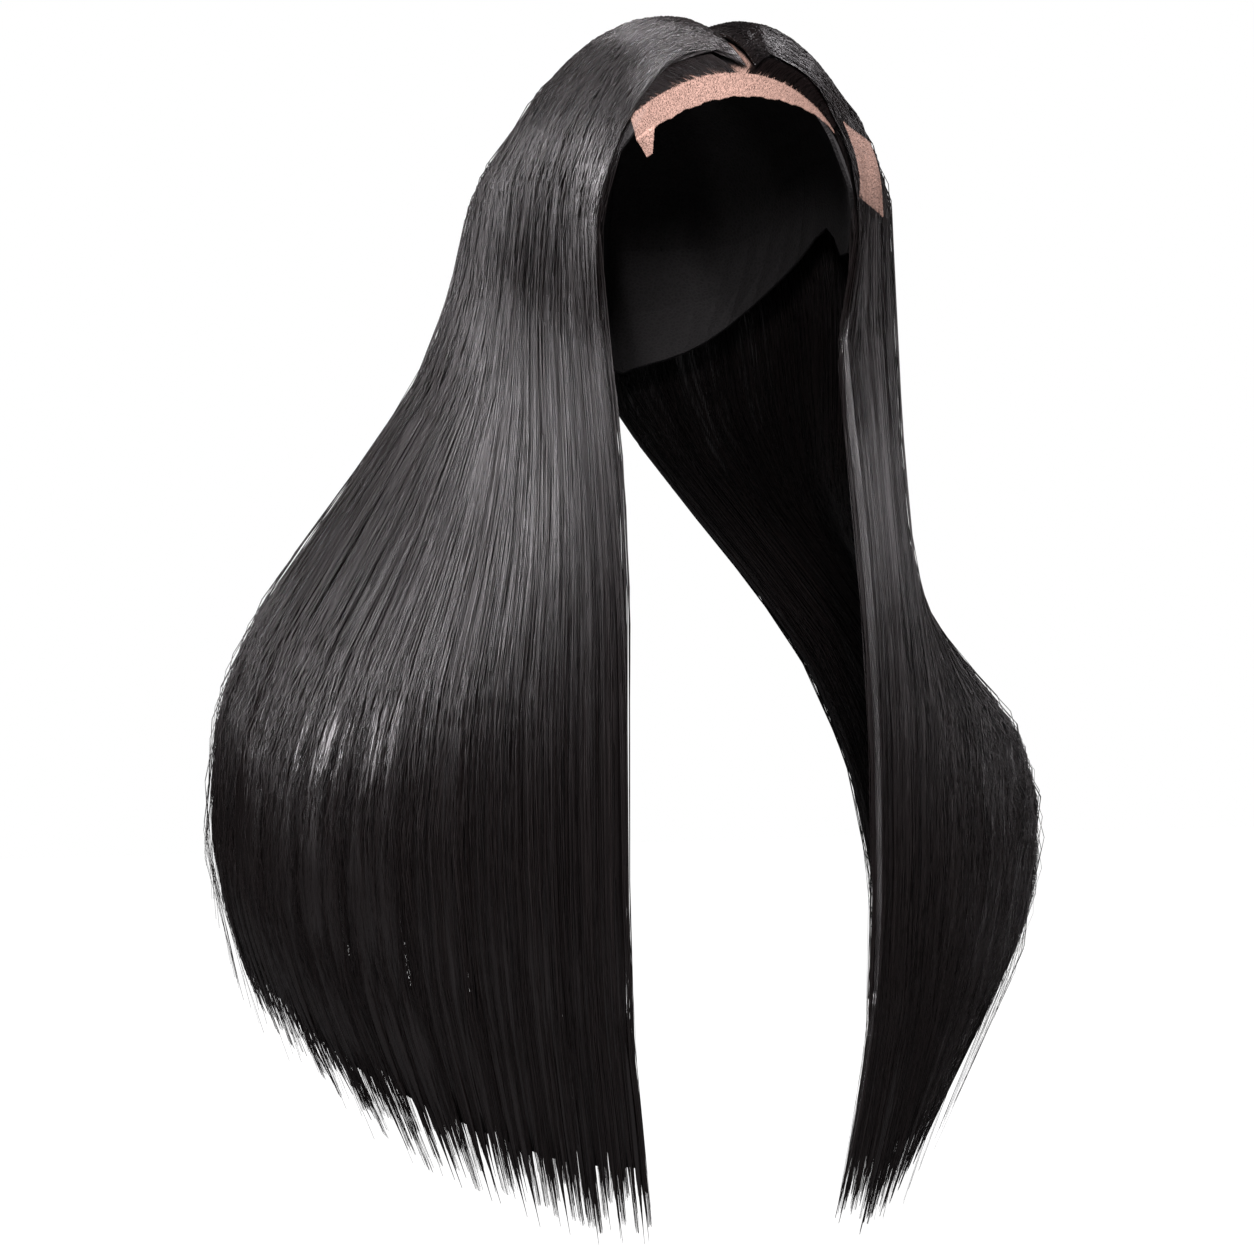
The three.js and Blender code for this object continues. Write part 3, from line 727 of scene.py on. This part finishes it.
def wisp_mesh(name, side, start, end, chance, finish):
    """The pointed ends of a lock: flat tapering tufts that begin in its body."""
    sides = len(WISP_SECTION)
    width = (end - start) / WISPS_PER_LOCK
    t = np.linspace(0, 1, WISP_RINGS)
    opening = 0.1 + 0.9 * smooth_step(t / 0.3)
    half = WISP_OVERLAP * opening * (1 - 0.95 * smooth_step((t - 0.58) / 0.42))
    slim = 0.26 * (1 - t) * opening + 0.02
    vertices, faces, flow = [], [], []
    for k in range(WISPS_PER_LOCK):
        place = start + (k + 0.5 + chance.uniform(-0.2, 0.2)) * width
        place = min(0.995 - width / 2, max(0.005 + width / 2, place))
        last = WISP_END_MIN + WISP_END_SPREAD * chance.uniform(0, 1) ** 1.3
        lean = chance.uniform(-0.9, 0.9)
        depth = chance.uniform(0.4, 0.65)
        shares = WISP_START + (last - WISP_START) * t
        borders, outward = hair_sheet(side, [place - width / 2, place + width / 2], shares)
        sideways = borders[1] - borders[0]
        facing = outward[0] * LOCK_THICKNESS
        middle = borders[0] + sideways * (0.5 + lean * t**2)[:, None] - facing * depth
        for x, y in WISP_SECTION:
            vertices.append(middle + sideways * (x * half)[:, None] + facing * (y * slim)[:, None])
            over = start + place + (x * half + (2 if y < 0 else 0)) * np.linalg.norm(sideways, axis=1)
            flow.append(np.stack([over, shares], axis=1))
        first = k * sides * WISP_RINGS
        for i in range(sides):
            for r in range(WISP_RINGS - 1):
                a = first + i * WISP_RINGS + r
                b = first + (i + 1) % sides * WISP_RINGS + r
                faces.append((a, b, b + 1, a + 1))
        faces.append(tuple(first + i * WISP_RINGS for i in reversed(range(sides))))
        faces.append(tuple(first + i * WISP_RINGS + WISP_RINGS - 1 for i in range(sides)))
    mesh = bpy.data.meshes.new(name)
    mesh.from_pydata(np.vstack(vertices).tolist(), [], faces)
    paint_flow(mesh, np.vstack(flow))
    mesh.materials.append(finish)
    make_outward(mesh)
    return mesh


def make_outward(mesh):
    """Turns every face of a closed mesh to look out."""
    shape = bmesh.new()
    shape.from_mesh(mesh)
    bmesh.ops.recalc_face_normals(shape, faces=shape.faces)
    shape.to_mesh(mesh)
    shape.free()


def join_meshes(name, meshes):
    """One piece from several meshes."""
    objects = []
    for mesh in meshes:
        part = bpy.data.objects.new(mesh.name, mesh)
        bpy.context.scene.collection.objects.link(part)
        objects.append(part)
    with bpy.context.temp_override(
        active_object=objects[0], object=objects[0],
        selected_objects=objects, selected_editable_objects=objects,
    ):
        bpy.ops.object.join()
    objects[0].name = name
    objects[0].data.name = name
    return objects[0]


def shade_smooth(piece):
    piece.data.polygons.foreach_set("use_smooth", [True] * len(piece.data.polygons))


def finish_piece(piece, node_names):
    shade_smooth(piece)
    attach(piece, "root")
    if node_names:
        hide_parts(*node_names)
    return piece


# %% [markdown]
# Each of the twenty-eight locks becomes one piece: body, wisps and strands.
# Its strands reach a little past its borders, so neighbours mingle and no seam
# shows, just as combed hair closes up.

# %% The locks
STRANDS_PER_LOCK = 320
STRAND_POINTS = 12
STRAND_RADIUS = 0.00023
BORDER_SHARE = 0.15
FACE_LOCKS = 4
FACE_TIP = 1.03
SIDE_TIP = 1.04
CROWN_SHARE = 0.16
CROWN_FADE = 0.2


def lock_thickness(shares):
    """How thick a lock is: thin at the root, slim over the head, full below it."""
    filling = smooth_step(shares / CROWN_SHARE)
    room = SIDE_LIFT - CAP_WALL - LACE_WALL - 2 * SEAT_GAP - ROOT_THICKNESS
    body = ROOT_THICKNESS + (LOCK_THICKNESS - ROOT_THICKNESS) * filling
    head_room = ROOT_THICKNESS + room * filling
    beside = smooth_step((shares - CROWN_SHARE) / CROWN_FADE)
    return np.minimum(body, head_room) * (1 - beside) + LOCK_THICKNESS * beside


def make_lock(side, number):
    name = f"{side}_hair_{number + 1:02d}"
    start = number / LOCKS_PER_SIDE
    end = (number + 1) / LOCKS_PER_SIDE
    border = BORDER_SHARE / LOCKS_PER_SIDE
    places = np.linspace(max(0, start - border), min(1, end + border), 9)
    shares = np.linspace(0, GUIDE_END, 91)
    points, outward = hair_sheet(side, places, shares)
    points = keep_off_head(points, INNERMOST + THINNEST_HAIR)
    thickness = np.tile(lock_thickness(shares), (len(places), 1))
    room = 0.5 + 0.5 * smooth_step(places / 0.15)[:, None]
    thickness = thickness * np.maximum(room, smooth_step((shares - CROWN_SHARE) / CROWN_FADE)[None, :])
    longest = FACE_TIP if number < FACE_LOCKS else SIDE_TIP
    strands = grow_strands(
        name, points, outward, thickness, hair,
        Strands=STRANDS_PER_LOCK, Points=STRAND_POINTS, Radius=STRAND_RADIUS,
        **{"Clump Pull": 0.4, "Shortest Tip": 0.99, "Longest Tip": longest},
        Clumps=6.0, Drift=0.012, Seed=100 * number + (17 if side == "left" else 0),
    )
    body = body_mesh(name + "_body", side, start, end, lock_thickness, combed_hair)
    chance = np.random.default_rng(number + (50 if side == "left" else 0))
    wisps = wisp_mesh(name + "_wisps", side, start, end, chance, combed_hair)
    piece = join_meshes(name, [strands, body, wisps])
    return finish_piece(piece, [f"{side}_lock_{number + 1:02d}"])


total = 0
for side in ("right", "left"):
    for number in range(LOCKS_PER_SIDE):
        piece = make_lock(side, number)
        total += sum(len(p.vertices) - 2 for p in piece.data.polygons)
print("the locks hold", total, "triangles")

# %% [markdown]
# Along the forehead the hair is tied into the lace one strand at a time. These
# fine strands rise from the hairline, lean back and outwards, and slip under
# the edge of the sheet, sparse at first and dense behind. They grow with the
# same tree, on a guide surface of their own.

# %% Hairline
LACE_TOP = CAP_WALL + FACET_SAG + SEAT_GAP + LACE_WALL
HAIRLINE_FRONT_DEG = -45.0
HAIRLINE_DIP_DEG = 5.8
HAIRLINE_START_DEG = 1.0
HAIRLINE_SPAN_DEG = 33.5
JOIN_AT = 0.45
TAIL_SHARE = 0.22


def hairline_guide(side, columns=33, rows=40):
    """A surface that rises from the hairline and dips under the edge of the sheet."""
    sign = 1 if side == "left" else -1
    join_reach = 0.09 if side == "left" else 0.11
    steps = np.linspace(0, GUIDE_END, rows)
    points = np.zeros((columns, rows, 3))
    for i, u in enumerate(np.linspace(0, 1, columns)):
        across = sign * (HAIRLINE_START_DEG + HAIRLINE_SPAN_DEG * u)
        root = head_direction(across, HAIRLINE_FRONT_DEG - HAIRLINE_DIP_DEG * u * u)
        share = 0.055 + join_reach * u
        tail_shares = share + TAIL_SHARE * np.clip((steps - JOIN_AT) / (1 - JOIN_AT), 0, 1.2)
        tail, facing = hair_sheet(side, [0.02 + 0.05 * u], tail_shares)
        tail = tail[0] - facing[0] * (0.0012 + 0.0012 * smooth_step((steps - JOIN_AT) / 0.3))[:, None]
        join = tail[0] - HEAD_CENTRE
        join_lift = np.linalg.norm(join) / head_reach(unit(join), 0, 0) - 1
        root_lift = (LACE_TOP + 0.0001) / head_reach(root, 0, 0)
        middle = unit(root + unit(join) + np.array([0, 0.22, 0.16]))
        for j, step in enumerate(steps):
            if step >= JOIN_AT:
                points[i, j] = tail[j]
                continue
            t = step / JOIN_AT
            way = unit(root * (1 - t) ** 2 + middle * 2 * t * (1 - t) + unit(join) * t**2)
            lift = root_lift + (join_lift - root_lift) * smooth_step(t * 1.1)
            lift += 0.012 * np.sin(np.pi * t) * u
            points[i, j] = way * head_reach(way, 0, 0) * (1 + lift) + HEAD_CENTRE
    return keep_off_head(points, LACE_TOP + 0.0001), unit(points - HEAD_CENTRE)




for side in ("right", "left"):
    points, facing = hairline_guide(side)
    flat = np.full(points.shape[:2], 0.0012)
    mesh = grow_strands(
        side + "_hairline", points, facing, flat, hairline_hair,
        Strands=900, Points=12, Radius=0.00012, Clumps=26.0, Ease=1.0, Drift=0.02,
        **{"Clump Pull": 0.35, "Latest Root": 0.3, "Tip Spread": 0.3, "Outer Share": 1.0},
        Seed=901,
    )
    fine_hair = bpy.data.objects.new(side + "_hairline", mesh)
    bpy.context.scene.collection.objects.link(fine_hair)
    finish_piece(fine_hair, [])
    print(side, "hairline has", len(mesh.polygons), "faces")

# %% [markdown]
# The lace and the cap under it are thin cloth. Both are knitted nets, so one
# node group gives the pattern of holes at any scale. On the lace a map in
# millimetres carries it, and a painted density says how much shows through:
# little where the lace lies double, more in a single free layer. Behind the
# hairline the lace is dark with knots of hair, but for the line of the parting.

# %% Net pattern
def net_group():
    tree = bpy.data.node_groups.new("net_pattern", "ShaderNodeTree")
    tree.interface.new_socket("Vector", in_out="INPUT", socket_type="NodeSocketVector")
    tree.interface.new_socket("Scale", in_out="INPUT", socket_type="NodeSocketFloat")
    tree.interface.new_socket("Thread", in_out="OUTPUT", socket_type="NodeSocketFloat")
    tree.interface.new_socket("Variation", in_out="OUTPUT", socket_type="NodeSocketFloat")
    nodes, links = tree.nodes, tree.links
    given = nodes.new("NodeGroupInput")
    result = nodes.new("NodeGroupOutput")
    cells = nodes.new("ShaderNodeTexVoronoi")
    cells.feature = "DISTANCE_TO_EDGE"
    links.new(given.outputs["Vector"], cells.inputs["Vector"])
    links.new(given.outputs["Scale"], cells.inputs["Scale"])
    thread = nodes.new("ShaderNodeMapRange")
    thread.inputs["From Min"].default_value = 0.04
    thread.inputs["From Max"].default_value = 0.22
    thread.inputs["To Min"].default_value = 1.0
    thread.inputs["To Max"].default_value = 0.0
    links.new(cells.outputs["Distance"], thread.inputs["Value"])
    links.new(thread.outputs["Result"], result.inputs["Thread"])
    broad = nodes.new("ShaderNodeTexNoise")
    links.new(given.outputs["Vector"], broad.inputs["Vector"])
    links.new(math_node(nodes, links, "MULTIPLY", given.outputs["Scale"], 0.08), broad.inputs["Scale"])
    links.new(broad.outputs["Fac"], result.inputs["Variation"])
    return tree


net_pattern = net_group()


def placed_net(nodes, links, vector, scale):
    net_node = nodes.new("ShaderNodeGroup")
    net_node.node_tree = net_pattern
    links.new(vector, net_node.inputs["Vector"])
    net_node.inputs["Scale"].default_value = scale
    return net_node


# %% [markdown]
# The lace is a skin-toned net, a little paler where it is folded and along its
# cut edge. The cap is black and matt.

# %% Lace and cap materials
LACE_PALE = (0.95, 0.76, 0.68, 1)
LACE_DEEP = (0.86, 0.54, 0.43, 1)
KNOT_DARK = (0.004, 0.0028, 0.0026, 1)


def lace_material():
    material, nodes, links, shader = new_material("lace")
    uv = nodes.new("ShaderNodeUVMap")
    uv.uv_map = "cloth"
    pattern = placed_net(nodes, links, uv.outputs["UV"], 1.25)
    density = nodes.new("ShaderNodeAttribute")
    density.attribute_name = "density"
    blend = nodes.new("ShaderNodeMix")
    blend.data_type = "RGBA"
    blend.inputs[6].default_value = LACE_DEEP
    blend.inputs[7].default_value = LACE_PALE
    thick = math_node(nodes, links, "MULTIPLY", pattern.outputs["Variation"], 0.25)
    thread = math_node(nodes, links, "MULTIPLY", pattern.outputs["Thread"], 0.08)
    layers = math_node(nodes, links, "SUBTRACT", density.outputs["Fac"], 0.6)
    shade = math_node(nodes, links, "ADD", math_node(nodes, links, "ADD", thick, thread),
                      math_node(nodes, links, "MULTIPLY", layers, 1.4))
    links.new(shade, blend.inputs[0])
    knots = nodes.new("ShaderNodeAttribute")
    knots.attribute_name = "knots"
    tied = nodes.new("ShaderNodeMix")
    tied.data_type = "RGBA"
    tied.inputs[7].default_value = KNOT_DARK
    links.new(knots.outputs["Fac"], tied.inputs[0])
    links.new(blend.outputs[2], tied.inputs[6])
    links.new(tied.outputs[2], shader.inputs["Base Color"])
    see = math_node(nodes, links, "ADD", math_node(nodes, links, "MULTIPLY", density.outputs["Fac"], 1.25),
                    math_node(nodes, links, "MULTIPLY", pattern.outputs["Thread"], 0.2))
    clear = math_node(nodes, links, "MINIMUM", see, 1.0)
    links.new(clear, shader.inputs["Alpha"])
    bump = nodes.new("ShaderNodeBump")
    bump.inputs["Strength"].default_value = 0.1
    bump.inputs["Distance"].default_value = 0.0001
    links.new(pattern.outputs["Thread"], bump.inputs["Height"])
    links.new(bump.outputs["Normal"], shader.inputs["Normal"])
    shader.inputs["Roughness"].default_value = 0.7
    return material


def cap_material():
    material, nodes, links, shader = new_material("cap_net")
    coordinates = nodes.new("ShaderNodeTexCoord")
    pattern = placed_net(nodes, links, coordinates.outputs["Object"], 520.0)
    blend = nodes.new("ShaderNodeMix")
    blend.data_type = "RGBA"
    blend.inputs[6].default_value = (0.004, 0.0035, 0.0035, 1)
    blend.inputs[7].default_value = (0.010, 0.009, 0.009, 1)
    links.new(pattern.outputs["Thread"], blend.inputs[0])
    links.new(blend.outputs[2], shader.inputs["Base Color"])
    bump = nodes.new("ShaderNodeBump")
    bump.inputs["Strength"].default_value = 0.5
    bump.inputs["Distance"].default_value = 0.0004
    links.new(pattern.outputs["Thread"], bump.inputs["Height"])
    links.new(bump.outputs["Normal"], shader.inputs["Normal"])
    shader.inputs["Roughness"].default_value = 0.85
    return material


lace = lace_material()
net = cap_material()
CAP_PANELS = ("cap_left_side", "cap_left_back", "cap_right_back", "cap_right_side")
for node_name in CAP_PANELS:
    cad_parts[node_name].data.materials.clear()
    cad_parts[node_name].data.materials.append(net)

# %% [markdown]
# Each lace piece is a thin closed sheet, made from a grid of points and a wall.
# The closure's front edge is cut by hand, so it wavers slightly, and the strip
# along it lies double.

# %% Lace pieces
LACE_THICKNESS = 0.0004
LACE_HALF_SPAN_DEG = 34.0
LACE_BACK_DEG = 14.0
LACE_FRONT_DEG = -55.0
LACE_FRONT_DIP = 4.0
MM_PER_DEGREE = 1.65


def cloth_piece(name, points, outward, density, size_mm, finish, knots=None):
    columns, rows = points.shape[:2]
    count = columns * rows
    inner = points - outward * LACE_THICKNESS
    vertices = np.vstack([points.reshape(-1, 3), inner.reshape(-1, 3)])
    faces = []
    for i in range(columns - 1):
        for j in range(rows - 1):
            a = i * rows + j
            faces.append((a, a + rows, a + rows + 1, a + 1))
            faces.append((count + a, count + a + 1, count + a + rows + 1, count + a + rows))
    for i in range(columns - 1):
        a = i * rows
        b = a + rows - 1
        faces.append((a, count + a, count + a + rows, a + rows))
        faces.append((b, b + rows, count + b + rows, count + b))
    for j in range(rows - 1):
        a = j
        b = (columns - 1) * rows + j
        faces.append((a, a + 1, count + a + 1, count + a))
        faces.append((b, count + b, count + b + 1, b + 1))
    mesh = bpy.data.meshes.new(name)
    mesh.from_pydata(vertices.tolist(), [], faces)
    uv_map = mesh.uv_layers.new(name="cloth")
    u = np.repeat(np.linspace(0, size_mm[0], columns), rows)
    v = np.tile(np.linspace(0, size_mm[1], rows), columns)
    both = np.tile(np.stack([u, v], axis=1), (2, 1))
    corner_vertex = np.zeros(len(mesh.loops), dtype=np.int32)
    mesh.loops.foreach_get("vertex_index", corner_vertex)
    uv_map.data.foreach_set("uv", both[corner_vertex].ravel())
    painted = mesh.attributes.new("density", "FLOAT", "POINT")
    painted.data.foreach_set("value", np.tile(density.ravel(), 2))
    if knots is not None:
        tied = mesh.attributes.new("knots", "FLOAT", "POINT")
        tied.data.foreach_set("value", np.tile(knots.ravel(), 2))
    mesh.materials.append(finish)
    make_outward(mesh)
    piece = bpy.data.objects.new(name, mesh)
    bpy.context.scene.collection.objects.link(piece)
    return piece


def lace_front(across_deg):
    dip = LACE_FRONT_DIP * np.where(across_deg < 0, 1.0, -0.3)
    return LACE_FRONT_DEG - dip * (across_deg / 25) ** 2


PART_HALF_WIDTH = 0.0009
PART_LEFT_SHARE = 0.7
HAIRLINE_FADE_DEG = 3.5


def tied_share(way, across, along):
    """How closely hair is knotted in: fully, but for the bare front and the parting."""
    beside = np.clip((np.abs(across) - HAIRLINE_START_DEG) / HAIRLINE_SPAN_DEG, 0, 1)
    hairline = HAIRLINE_FRONT_DEG - HAIRLINE_DIP_DEG * beside**2
    behind = smooth_step((along - hairline - 0.8) / HAIRLINE_FADE_DEG)
    places = np.linspace(0, 1, 60)
    left = np.array([hair_line("left", place, [0.0])[0] for place in places])
    right = np.array([hair_line("right", place, [0.0])[0] for place in places])
    middle = PART_LEFT_SHARE * left + (1 - PART_LEFT_SHARE) * right
    ahead = middle[0] + (middle[0] - middle[2]) * np.linspace(4, 0.5, 8)[:, None]
    parting = unit(np.vstack([ahead, middle]) - HEAD_CENTRE)
    gap = np.full(way.shape[:2], 1.0)
    for point in parting:
        gap = np.minimum(gap, np.linalg.norm(way - point, axis=-1))
    bare = 1 - smooth_step((gap * HEAD_HALF_DEPTH - PART_HALF_WIDTH) / PART_HALF_WIDTH)
    return behind * (1 - bare)


def make_closure():
    """The lace patch, stretched over the cap, with its hand-cut front edge."""
    columns, rows = 81, 46
    across = np.linspace(-LACE_HALF_SPAN_DEG, LACE_HALF_SPAN_DEG, columns)[:, None]
    waver = 0.25 * np.sin(across * 0.9) + 0.16 * np.sin(across * 2.3 + 1)
    front = lace_front(across) + 0.3 + waver
    steps = np.linspace(0, 1, rows)[None, :] ** 1.4
    along = front + (LACE_BACK_DEG - front) * steps
    way = head_direction(across + 0 * along, along)
    points = on_head(way, LACE_TOP - 0.0001)
    behind = (along - front) * MM_PER_DEGREE
    fold_width = 4.2 - 1.2 * np.cos(across * 0.09) + 0.5 * np.sin(across * 0.35)
    double = 1 - smooth_step((behind - fold_width) / 0.7)
    density = 0.82 + 0.18 * double
    knots = tied_share(way, across, along)
    piece = cloth_piece("lace_front", points, way, density, (99.0, 112.0), lace, knots)
    finish_piece(piece, ["lace_closure"])


def make_right_end():
    """The small pointed flap that hangs from the right end of the lace."""
    columns, rows = 13, 17
    i = np.linspace(0, 1, columns)[:, None]
    j = np.linspace(0, 1, rows)[None, :]
    narrow = 1 - 0.7 * j
    across = -31.0 + 6.0 * (i - 0.5) * narrow
    along = lace_front(across) + 1.0 - 9.2 * j
    way = head_direction(across, along)
    fold = 0.0009 * np.sin(np.pi * i) * np.sin(np.pi * np.minimum(1, j * 1.6))
    points = way * head_reach(way, LACE_TOP + 0.0005, LACE_TOP + 0.0005)[..., None]
    points = points + way * fold[..., None] + HEAD_CENTRE
    edge = np.minimum(i, 1 - i) * 2 * narrow
    density = 0.98 - 0.25 * smooth_step(edge / 0.6)
    piece = cloth_piece("lace_end_right", points, way, density + 0 * points[..., 0], (10.2, 15.0), lace)
    finish_piece(piece, ["lace_tab_right"])


LEFT_END_PLACE = 0.145


def make_left_end():
    """The strip that lies back over the first left locks, clear in its middle."""
    columns, rows = 21, 31
    tries = np.linspace(0, 0.5, 400)
    points = np.zeros((columns, rows, 3))
    outward = np.zeros((columns, rows, 3))
    for i, place in enumerate(np.linspace(0.0, LEFT_END_PLACE, columns)):
        drops = -hair_line("left", place, tries)[:, 2]
        wanted = 0.041 + 0.007 * place / LEFT_END_PLACE + 0.034 * np.linspace(0, 1, rows)
        shares = np.interp(wanted, drops, tries)
        row, facing = hair_sheet("left", [place], shares)
        points[i] = row[0]
        outward[i] = facing[0]
    i = np.linspace(0, 1, columns)[:, None]
    j = np.linspace(0, 1, rows)[None, :]
    ripple = 0.0005 * np.sin(9 * i + 2 * j) * np.sin(np.pi * j) + 0.0008 * np.sin(np.pi * i) * j
    points = points + outward * (0.0013 + ripple)[..., None]
    frame_edge = np.minimum(np.minimum(i, 1 - i) * 14, (1 - j) * 35)
    single = smooth_step((frame_edge - 2.0) / 1.2) * smooth_step((j - 0.22 - 0.2 * i) / 0.08)
    density = 0.95 - 0.8 * single
    piece = cloth_piece("lace_end_left", points, outward, density, (20.0, 36.0), lace)
    finish_piece(piece, ["lace_tab_left"])


make_closure()
make_right_end()
make_left_end()

# %% [markdown]
# The wig hangs in front of a plain white background, over a pale floor. Black
# hair shows its shape only by its sheen, so the light comes from large soft
# panels, and the white around the wig is seen by the camera but lights little.

# %% Floor, background and light
FLOOR_GAP = 0.05
floor_height = cad_box[0][2] - FLOOR_GAP
floor_mesh = bpy.data.meshes.new("floor")
floor_half = 3.0
floor_mesh.from_pydata(
    [(-floor_half, -floor_half, floor_height), (floor_half, -floor_half, floor_height),
     (floor_half, floor_half, floor_height), (-floor_half, floor_half, floor_height)],
    [], [(0, 1, 2, 3)],
)
floor_finish, floor_nodes, floor_links, floor_shader = new_material("pale_floor")
floor_shader.inputs["Base Color"].default_value = (0.06, 0.06, 0.06, 1)
floor_shader.inputs["Roughness"].default_value = 0.9
floor_shader.inputs["Emission Color"].default_value = (1, 1, 1, 1)
floor_seen = floor_nodes.new("ShaderNodeLightPath")
floor_links.new(floor_seen.outputs["Is Camera Ray"], floor_shader.inputs["Emission Strength"])
floor_mesh.materials.append(floor_finish)
floor = bpy.data.objects.new("floor", floor_mesh)
bpy.context.scene.collection.objects.link(floor)

world = bpy.data.worlds.new("studio")
world.use_nodes = True
bpy.context.scene.world = world
sky = world.node_tree.nodes["Background"]
sky.inputs["Color"].default_value = (1, 1, 1, 1)
seen = world.node_tree.nodes.new("ShaderNodeLightPath")
strength = world.node_tree.nodes.new("ShaderNodeMapRange")
strength.inputs["To Min"].default_value = 0.02
strength.inputs["To Max"].default_value = 1.0
world.node_tree.links.new(seen.outputs["Is Camera Ray"], strength.inputs["Value"])
world.node_tree.links.new(strength.outputs["Result"], sky.inputs["Strength"])


STUDIO_WHITE = (1.0, 0.955, 0.99)


def soft_panel(name, place, target, size, power):
    light = bpy.data.lights.new(name, "AREA")
    light.shape = "RECTANGLE"
    light.size, light.size_y = size
    light.energy = power
    light.color = STUDIO_WHITE
    panel = bpy.data.objects.new(name, light)
    panel.location = place
    panel.rotation_euler = (Vector(target) - Vector(place)).to_track_quat("-Z", "Y").to_euler()
    bpy.context.scene.collection.objects.link(panel)
    return panel


soft_panel("key", (-1.9, -0.4, 0.66), (-0.05, 0, -0.2), (0.5, 0.6), 46)
soft_panel("front", (-0.9, -1.9, 0.8), (0, 0, -0.2), (0.5, 0.35), 30)
soft_panel("side", (1.4, -1.2, 0.35), (0.1, 0, -0.25), (0.3, 0.6), 22)
soft_panel("top", (-0.3, -1.2, 1.4), (0, 0, -0.1), (0.5, 0.3), 85)

view_settings = bpy.context.scene.view_settings
view_settings.view_transform = "Standard"

# %% Close the scene
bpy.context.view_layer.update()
dressed = [piece for piece in bpy.data.objects if piece.type == "MESH" and piece.name != "floor"]
counts = [sum(len(p.vertices) - 2 for p in piece.data.polygons) for piece in dressed]
print("the scene holds", sum(counts), "triangles, the largest piece", max(counts))
